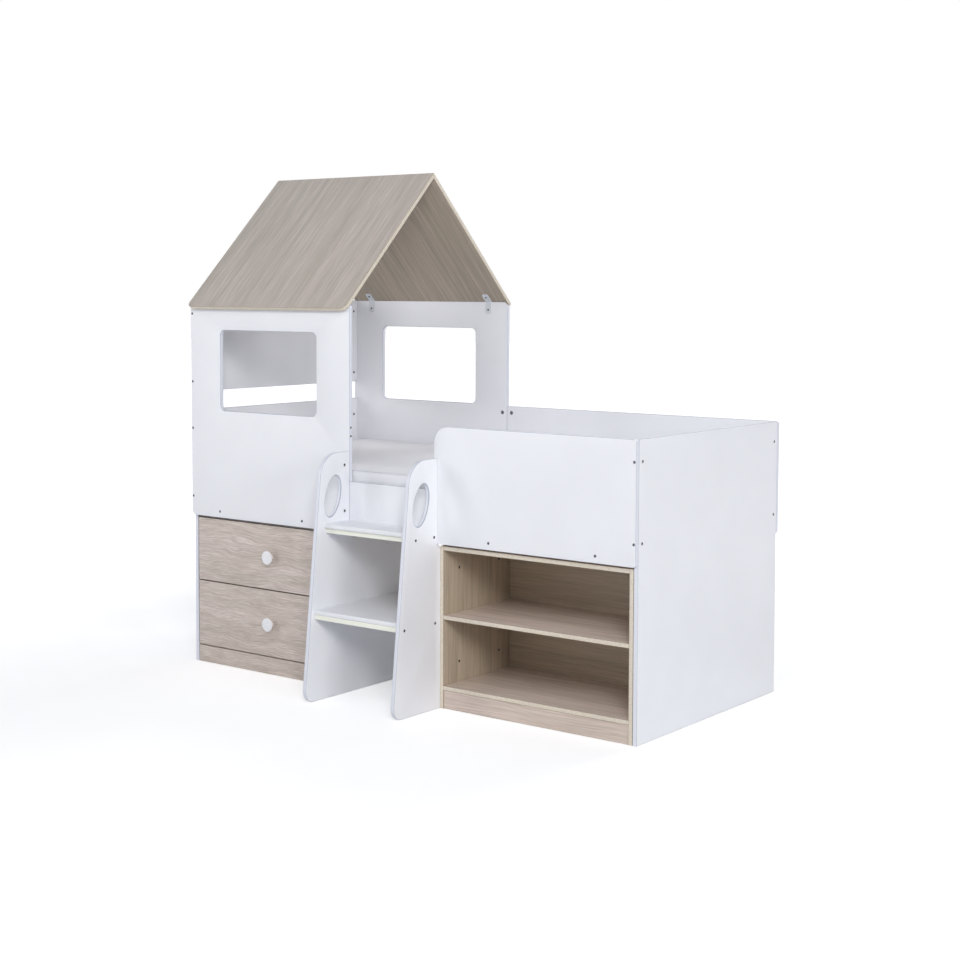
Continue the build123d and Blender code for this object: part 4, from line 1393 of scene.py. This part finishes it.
@dataclass
class Drawer:
    """An overlay front, a foil-covered box on roller runners and a disc knob.

    Attributes:
        name: "upper" or "lower".
        knob_disc: Thickness of the knob's disc.
        knob_stem: Radius of its stem at the front board and behind the disc.
        knob_bevel: How far the disc's back slopes in and forward.
        knob_neck: Rounding where the stem meets the disc.
        knob_back: Rounding behind the rim.
        knob_rim: Rounding of the disc's front rim.
        knob_step: Largest turn between two points of these roundings.
        box_ease: Rounding of the box's edges.
        bottom_ease: Rounding of the thin bottom's edges.
    """

    name: str
    knob_disc: float = 8 * MM
    knob_stem: Point = (9 * MM, 7 * MM)
    knob_bevel: Point = (4 * MM, 3 * MM)
    knob_neck: float = 3 * MM
    knob_back: float = 2 * MM
    knob_rim: float = 2.5 * MM
    knob_step: float = math.radians(15)
    box_ease: float = 0.6 * MM
    bottom_ease: float = 0.3 * MM

    def build(self) -> None:
        """Make the drawer on its own body."""
        body = self.name + "_drawer"
        Board(f"{body}_front", FRONT_DRESS, body=body).build()
        for side in ("left_side", "right_side"):
            Board(f"{body}_{side}", BOX_DRESS, Lie.FACING_X, body=body, ease=self.box_ease).build()
        Board(f"{body}_back", BOX_DRESS, body=body, ease=self.box_ease).build()
        Board(f"{body}_bottom", BOX_DRESS, Lie.FLAT, body=body, ease=self.bottom_ease).build()
        self.knob(body)
        dress_node(f"{body}_runners", RUNNER_ENAMEL)
        dress_node(f"{self.name}_knob_screw", ZINC)

    def knob(self, body: str) -> None:
        """Turn the knob's profile about its own axis."""
        node = f"{body}_knob"
        low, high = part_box(node)
        radius, reach = (high.x - low.x) / 2, high.y - low.y
        disc = reach - self.knob_disc
        inward, forward = self.knob_bevel
        corners = [(0, 0), (self.knob_stem[0], 0), (self.knob_stem[1], disc), (radius - inward, disc),
                   (radius, disc + forward), (radius, reach), (0, reach)]
        radii = [0, 0, self.knob_neck, 0, self.knob_back, self.knob_rim, 0]
        profile = arc_loop(corners, radii, self.knob_step)
        middle = Vector(((low.x + high.x) / 2, high.y, (low.z + high.z) / 2))
        piece = make_piece(node + "_turned", turned(profile, middle))
        piece.data.set_sharp_from_angle(angle=KNOB_CREASE)
        piece.data.materials.append(KNOB_PLASTIC.material())
        stand_for(piece, body, "knob_white", node)


def turned(profile: Loop, middle: Vector, count: int = 72) -> bmesh.types.BMesh:
    """Turn a profile about an axis that points to the front.

    Args:
        profile: Radius and reach of each point, closed along the axis.
        middle: Where the axis meets the surface behind.
        count: Number of steps round.

    Returns:
        The closed form.
    """
    mesh = bmesh.new()
    points = [p for p in profile if p[0] > WELD]
    ends = [min(p[1] for p in profile), max(p[1] for p in profile)]
    start = min(range(len(points)), key=lambda index: (round(points[index][1], 6), points[index][0]))
    points = points[start:] + points[:start]
    poles = [mesh.verts.new(middle + Vector((0, -end, 0))) for end in ends]
    columns = []
    for step in range(count):
        turn = 2 * math.pi * step / count
        aside = Vector((math.cos(turn), 0, math.sin(turn)))
        places = [middle + aside * radius + Vector((0, -reach, 0)) for radius, reach in points]
        columns.append([mesh.verts.new(place) for place in places])
    for one, other in zip(columns, [*columns[1:], columns[0]]):
        mesh.faces.new((poles[0], one[0], other[0]))
        mesh.faces.new((poles[1], other[-1], one[-1]))
        for index in range(len(points) - 1):
            mesh.faces.new((one[index], one[index + 1], other[index + 1], other[index]))
    for face in mesh.faces:
        face.smooth = True
    bmesh.ops.recalc_face_normals(mesh, faces=mesh.faces)
    return mesh


@dataclass
class Bookcase:
    """Open bookcase with one shelf, all in the ash print with cream edging."""

    def build(self, fittings: Fittings) -> None:
        """Make sides, levels, back and plinth."""
        for node in ("bookcase_left_side", "bookcase_right_side"):
            Board(node, SHADED_SIDE_DRESS, Lie.FACING_X, Grain.SECOND).build(fittings.all)
        for node in ("bookcase_bottom", "bookcase_shelf", "bookcase_top"):
            Board(node, LIT_LEVEL_DRESS, Lie.FLAT).build()
        Board("bookcase_back", SHADED_SIDE_DRESS).build()
        Board("bookcase_plinth", LIT_LEVEL_DRESS).build()


@dataclass
class BedBase:
    """Bearers, slats and tapes, which keep their CAD shapes under the mattress."""

    def dress(self) -> None:
        """Give the wood and the tapes their finishes."""
        for node in ("front_bearer", "rear_bearer"):
            dress_node(node, PINE_ALONG_X)
        dress_node("bed_slats", PINE_ALONG_Y)
        dress_node("slat_tapes", TAPE)


@dataclass
class Mattress:
    """Foam mattress in a knitted cover, blown up by a cloth simulation between its two seams.

    Attributes:
        shrink: How much smaller the start shape is, so that the cover can swell.
        corner: Radius of its corners seen from above.
        roll: Radius of its long edges.
        voxel: Size of the cloth's squares.
        pressure: Pressure inside the cover.
        reach: The furthest that a point may swell.
        seam: Distance of a seam from the top or bottom.
        pipe: Radius of the piping.
        last_frame: Length of the simulation.
    """

    shrink: float = 6 * MM
    corner: float = 45 * MM
    roll: float = 9 * MM
    voxel: float = 12 * MM
    pressure: float = 4.0
    reach: float = 6 * MM
    seam: float = 14 * MM
    pipe: float = 1.4 * MM
    last_frame: int = 20

    ROLL_STEPS = 6
    CLEAR = 1 * MM
    ON_SLATS = 3 * MM
    SEAM_SHARE = 0.6

    def build(self) -> None:
        """Make the cover, swell it, and add the piping."""
        low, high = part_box("mattress")
        cover = self.block(low, high)
        self.swell(cover)
        self.keep_inside(cover, low, high)
        for polygon in cover.data.polygons:
            polygon.use_smooth = True
        cover.data.materials.append(COVER.material())
        stand_for(cover, BED, "mattress_cover", "mattress")
        for name, level in (("lower", low.z + self.seam), ("upper", high.z - self.seam)):
            self.piping(name, low, high, level)

    def outline(self, low: Vector, high: Vector, inset: float, corner: float) -> Loop:
        """The mattress seen from above, drawn in by `inset`."""
        return rectangle((low.x + inset, low.y + inset), (high.x - inset, high.y - inset), [corner] * 4)

    def block(self, low: Vector, high: Vector) -> bpy.types.Object:
        """The start shape: rounded corners, rolled edges, evenly meshed."""
        mesh = bmesh.new()
        base, top = low.z + self.CLEAR, high.z - self.shrink
        turns = [math.pi / 2 * step / self.ROLL_STEPS for step in range(self.ROLL_STEPS + 1)]
        levels = [(self.roll * (1 - math.sin(t)), base + self.roll * (1 - math.cos(t))) for t in turns]
        levels += [(inset, base + top - level) for inset, level in reversed(levels)]
        rings = []
        for inset, level in levels:
            loop = inset_loop(self.outline(low, high, self.shrink, self.corner), inset)
            rings.append([mesh.verts.new((x, y, level)) for x, y in loop])
        for one, other in zip(rings, rings[1:]):
            for index in range(len(one)):
                after = (index + 1) % len(one)
                mesh.faces.new((one[index], one[after], other[after], other[index]))
        mesh.faces.new(rings[0])
        mesh.faces.new(rings[-1])
        bmesh.ops.recalc_face_normals(mesh, faces=mesh.faces)
        made = make_piece("mattress_cover", mesh)
        remesh = made.modifiers.new("even squares", "REMESH")
        remesh.mode = "VOXEL"
        remesh.voxel_size = self.voxel
        self.apply(made)
        return made

    @staticmethod
    def apply(piece: bpy.types.Object) -> None:
        """Make the piece's modifiers part of its mesh."""
        graph = bpy.context.evaluated_depsgraph_get()
        result = bpy.data.meshes.new_from_object(piece.evaluated_get(graph))
        piece.modifiers.clear()
        old = piece.data
        piece.data = result
        bpy.data.meshes.remove(old)

    def swell(self, cover: bpy.types.Object) -> None:
        """Blow the cover up like a filled case that its seams and its slats hold."""
        start = [vert.co.copy() for vert in cover.data.vertices]
        low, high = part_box("mattress")
        held = cover.vertex_groups.new(name="held")
        seams = (low.z + self.seam, high.z - self.seam)
        for vert in cover.data.vertices:
            at_seam = any(abs(vert.co.z - level) < self.voxel * self.SEAM_SHARE for level in seams)
            on_slats = vert.co.z < low.z + self.ON_SLATS
            if at_seam or on_slats:
                held.add([vert.index], 1.0, "REPLACE")
        cloth = cover.modifiers.new("filling", "CLOTH")
        cloth.settings.use_pressure = True
        cloth.settings.uniform_pressure_force = self.pressure
        cloth.settings.effector_weights.gravity = 0
        cloth.settings.vertex_group_mass = "held"
        cloth.settings.quality = 4
        scene = bpy.context.scene
        for number in range(1, self.last_frame + 1):
            scene.frame_set(number)
        graph = bpy.context.evaluated_depsgraph_get()
        swollen = [vert.co.copy() for vert in cover.evaluated_get(graph).data.vertices]
        cover.modifiers.clear()
        for vert, before, after in zip(cover.data.vertices, start, swollen):
            move = after - before
            if move.length > self.reach:
                move = move.normalized() * self.reach
            vert.co = before + move
        scene.frame_set(1)
        cover.vertex_groups.clear()

    def keep_inside(self, cover: bpy.types.Object, low: Vector, high: Vector) -> None:
        """Smooth the cover and keep it on the slats and clear of the boards."""
        smooth = cover.modifiers.new("finer squares", "SUBSURF")
        smooth.levels = smooth.render_levels = 1
        self.apply(cover)
        for vert in cover.data.vertices:
            vert.co = Vector([min(max(c, a), b) for c, a, b in zip(vert.co, low, high)])

    def piping(self, name: str, low: Vector, high: Vector, level: float) -> None:
        """Add a corded seam round the cover at one height."""
        curve = bpy.data.curves.new(f"mattress_{name}_piping", "CURVE")
        curve.dimensions = "3D"
        curve.bevel_depth = self.pipe
        curve.bevel_resolution = 4
        loop = self.outline(low, high, self.shrink, self.corner)
        spline = curve.splines.new("POLY")
        spline.points.add(len(loop) - 1)
        for point, (x, y) in zip(spline.points, loop):
            point.co = (x, y, level, 1)
        spline.use_cyclic_u = True
        made = bpy.data.objects.new(curve.name, curve)
        bpy.context.scene.collection.objects.link(made)
        graph = bpy.context.evaluated_depsgraph_get()
        tube = bpy.data.meshes.new_from_object(made.evaluated_get(graph))
        bpy.data.objects.remove(made)
        tube.materials.clear()
        tube.materials.append(PIPING.material())
        for polygon in tube.polygons:
            polygon.use_smooth = True
        piece = bpy.data.objects.new(f"mattress_{name}_piping", tube)
        bpy.context.scene.collection.objects.link(piece)
        stand_for(piece, BED, "mattress_cover")


@dataclass(frozen=True)
class Lamp:
    """A soft lamp aimed at the bed.

    Attributes:
        name: What the lamp does.
        place: Where it stands.
        aim: What it looks at.
        size: Side of its square face.
        power: Watts.
    """

    name: str
    place: tuple[float, float, float]
    aim: tuple[float, float, float]
    size: float
    power: float

    def light(self) -> None:
        """Put the lamp into the scene."""
        data = bpy.data.lights.new(self.name, "AREA")
        data.size = self.size
        data.energy = self.power
        made = bpy.data.objects.new(self.name, data)
        made.location = self.place
        made.rotation_mode = "QUATERNION"
        made.rotation_quaternion = (Vector(self.aim) - Vector(self.place)).to_track_quat("-Z", "Y")
        bpy.context.scene.collection.objects.link(made)


@dataclass
class Studio:
    """White studio: floor, world, lamps and the photograph's camera.

    Attributes:
        floor_half: Half the side of the floor.
        ambient: Strength of the world's light.
        shade: Colour of that light, a little cool as in the photograph's shadows.
        lift: Camera-ray glow that takes the floor near the bed to white.
        clear: Distances from the bed between which the floor's glow grows to full white.
        eye: Camera's place.
        yaw: Turn of the camera from +Y towards -X.
        pitch: Look above the horizon.
        roll: Turn about the line of sight.
        focal: Focal length in millimetres on a 36 mm sensor.
        shift: Downward shift of the frame, as a share of its width.
    """

    floor_half: float = 30.0
    ambient: float = 0.25
    shade: str = "#EDF2FF"
    lift: float = 0.42
    clear: tuple[float, float] = (1.6, 4.0)
    eye: tuple[float, float, float] = (3.72124, -4.72955, 1.42431)
    yaw: float = math.radians(37.43)
    pitch: float = math.radians(-3.63)
    roll: float = math.radians(0.17)
    focal: float = 62.84
    shift: float = -0.0896
    lamps: tuple[Lamp, ...] = (
        Lamp("key softbox, front right", (6.0, -6.5, 5.0), (0.0, 0.0, 0.8), 2.5, 315),
        Lamp("softbox at the foot end", (14.0, -5.0, 4.0), (0.0, 0.0, 0.8), 4.0, 410),
        Lamp("fill, front left", (-5.0, -6.0, 3.0), (0.0, 0.0, 0.8), 3.0, 108),
        Lamp("high front softbox", (1.5, -5.0, 7.0), (0.0, 0.0, 0.8), 2.0, 50),
        Lamp("softbox behind the bed", (0.5, 4.5, 4.5), (0.0, 0.2, 0.8), 3.0, 110),
    )

    SENSOR = 36.0
    SIGHT = 100.0

    def build(self) -> None:
        """Set up floor, world, lamps and camera."""
        self.floor()
        self.world()
        for lamp in self.lamps:
            lamp.light()
        self.camera()
        bpy.context.scene.view_settings.view_transform = "Standard"

    def white_to_the_eye(self, tree: bpy.types.NodeTree) -> bpy.types.NodeSocket:
        """One for rays from the camera or a reflection, and zero for those that only light."""
        path = put(tree, "LightPath").outputs
        seen = reckon(tree, "MAXIMUM", path["Is Camera Ray"], path["Is Glossy Ray"])
        return reckon(tree, "MAXIMUM", seen, path["Is Transmission Ray"])

    def floor(self) -> None:
        """A wide white floor just under the bed."""
        half = self.floor_half
        data = bpy.data.meshes.new("studio_floor")
        corners = [(-half, -half), (half, -half), (half, half), (-half, half)]
        data.from_pydata([(x, y, -MM) for x, y in corners], [], [(0, 1, 2, 3)])
        made = bpy.data.objects.new("studio_floor", data)
        bpy.context.scene.collection.objects.link(made)
        material = bpy.data.materials.new("white studio floor")
        material.use_nodes = True
        tree = material.node_tree
        shader = tree.nodes["Principled BSDF"]
        shader.inputs["Roughness"].default_value = 0.9
        shader.inputs["Specular IOR Level"].default_value = 0.0
        grain = put(tree, "TexNoise", {"Scale": 400.0}).outputs["Fac"]
        paint = ramp(tree, grain, [(0.3, "#F0F0F0"), (0.7, "#F3F3F3")])
        tree.links.new(paint, shader.inputs["Base Color"])
        shader.inputs["Emission Color"].default_value = linear("#FFFFFF")
        where = put(tree, "TexCoord").outputs["Object"]
        away = put(tree, "VectorMath", {0: where}, operation="LENGTH").outputs["Value"]
        start, end = self.clear
        growth = {"Value": away, "From Min": start, "From Max": end, "To Min": self.lift, "To Max": 1.0}
        level = put(tree, "MapRange", growth, interpolation_type="SMOOTHSTEP")
        glow = reckon(tree, "MULTIPLY", self.white_to_the_eye(tree), level.outputs["Result"])
        tree.links.new(glow, shader.inputs["Emission Strength"])
        data.materials.append(material)

    def world(self) -> None:
        """White to the camera and to reflections, a plain even light to everything else."""
        world = bpy.data.worlds.new("white studio")
        world.use_nodes = True
        bpy.context.scene.world = world
        tree = world.node_tree
        seen = self.white_to_the_eye(tree)
        strength = put(tree, "MapRange", {"Value": seen, "To Min": self.ambient, "To Max": 1.0})
        both = {"Factor": seen, 6: linear(self.shade), 7: linear("#FFFFFF")}
        colour = put(tree, "Mix", both, data_type="RGBA")
        background = tree.nodes["Background"]
        tree.links.new(colour.outputs[2], background.inputs["Color"])
        tree.links.new(strength.outputs["Result"], background.inputs["Strength"])

    def camera(self) -> None:
        """The photograph's viewpoint."""
        data = bpy.data.cameras.new("camera")
        data.sensor_width = self.SENSOR
        data.lens = self.focal
        data.shift_y = self.shift
        data.clip_end = self.SIGHT
        level = math.cos(self.pitch)
        ahead = Vector((-math.sin(self.yaw) * level, math.cos(self.yaw) * level, math.sin(self.pitch)))
        right = Vector((math.cos(self.yaw), math.sin(self.yaw), 0))
        up = right.cross(ahead)
        cos, sin = math.cos(self.roll), math.sin(self.roll)
        right, up = right * cos + up * sin, up * cos - right * sin
        made = bpy.data.objects.new("camera", data)
        turn = Matrix((right, up, -ahead)).transposed().to_4x4()
        made.matrix_world = Matrix.Translation(self.eye) @ turn
        bpy.context.scene.collection.objects.link(made)
        bpy.context.scene.camera = made


def main() -> None:
    """Build the bed piece by piece, then the studio."""
    logging.basicConfig(level=logging.INFO, format="%(name)s: %(message)s")
    fittings = Fittings().find()
    log.info("%d bolts and screws, %d nuts and cams", len(fittings.bolts), len(fittings.pockets))
    House().build(fittings)
    Roof().build()
    SidePanels().build(fittings)
    Ladder().build(fittings)
    Chest().build(fittings)
    Bookcase().build(fittings)
    BedBase().dress()
    Mattress().build()
    fittings.dress()
    Studio().build()


if __name__ == "__main__":
    main()
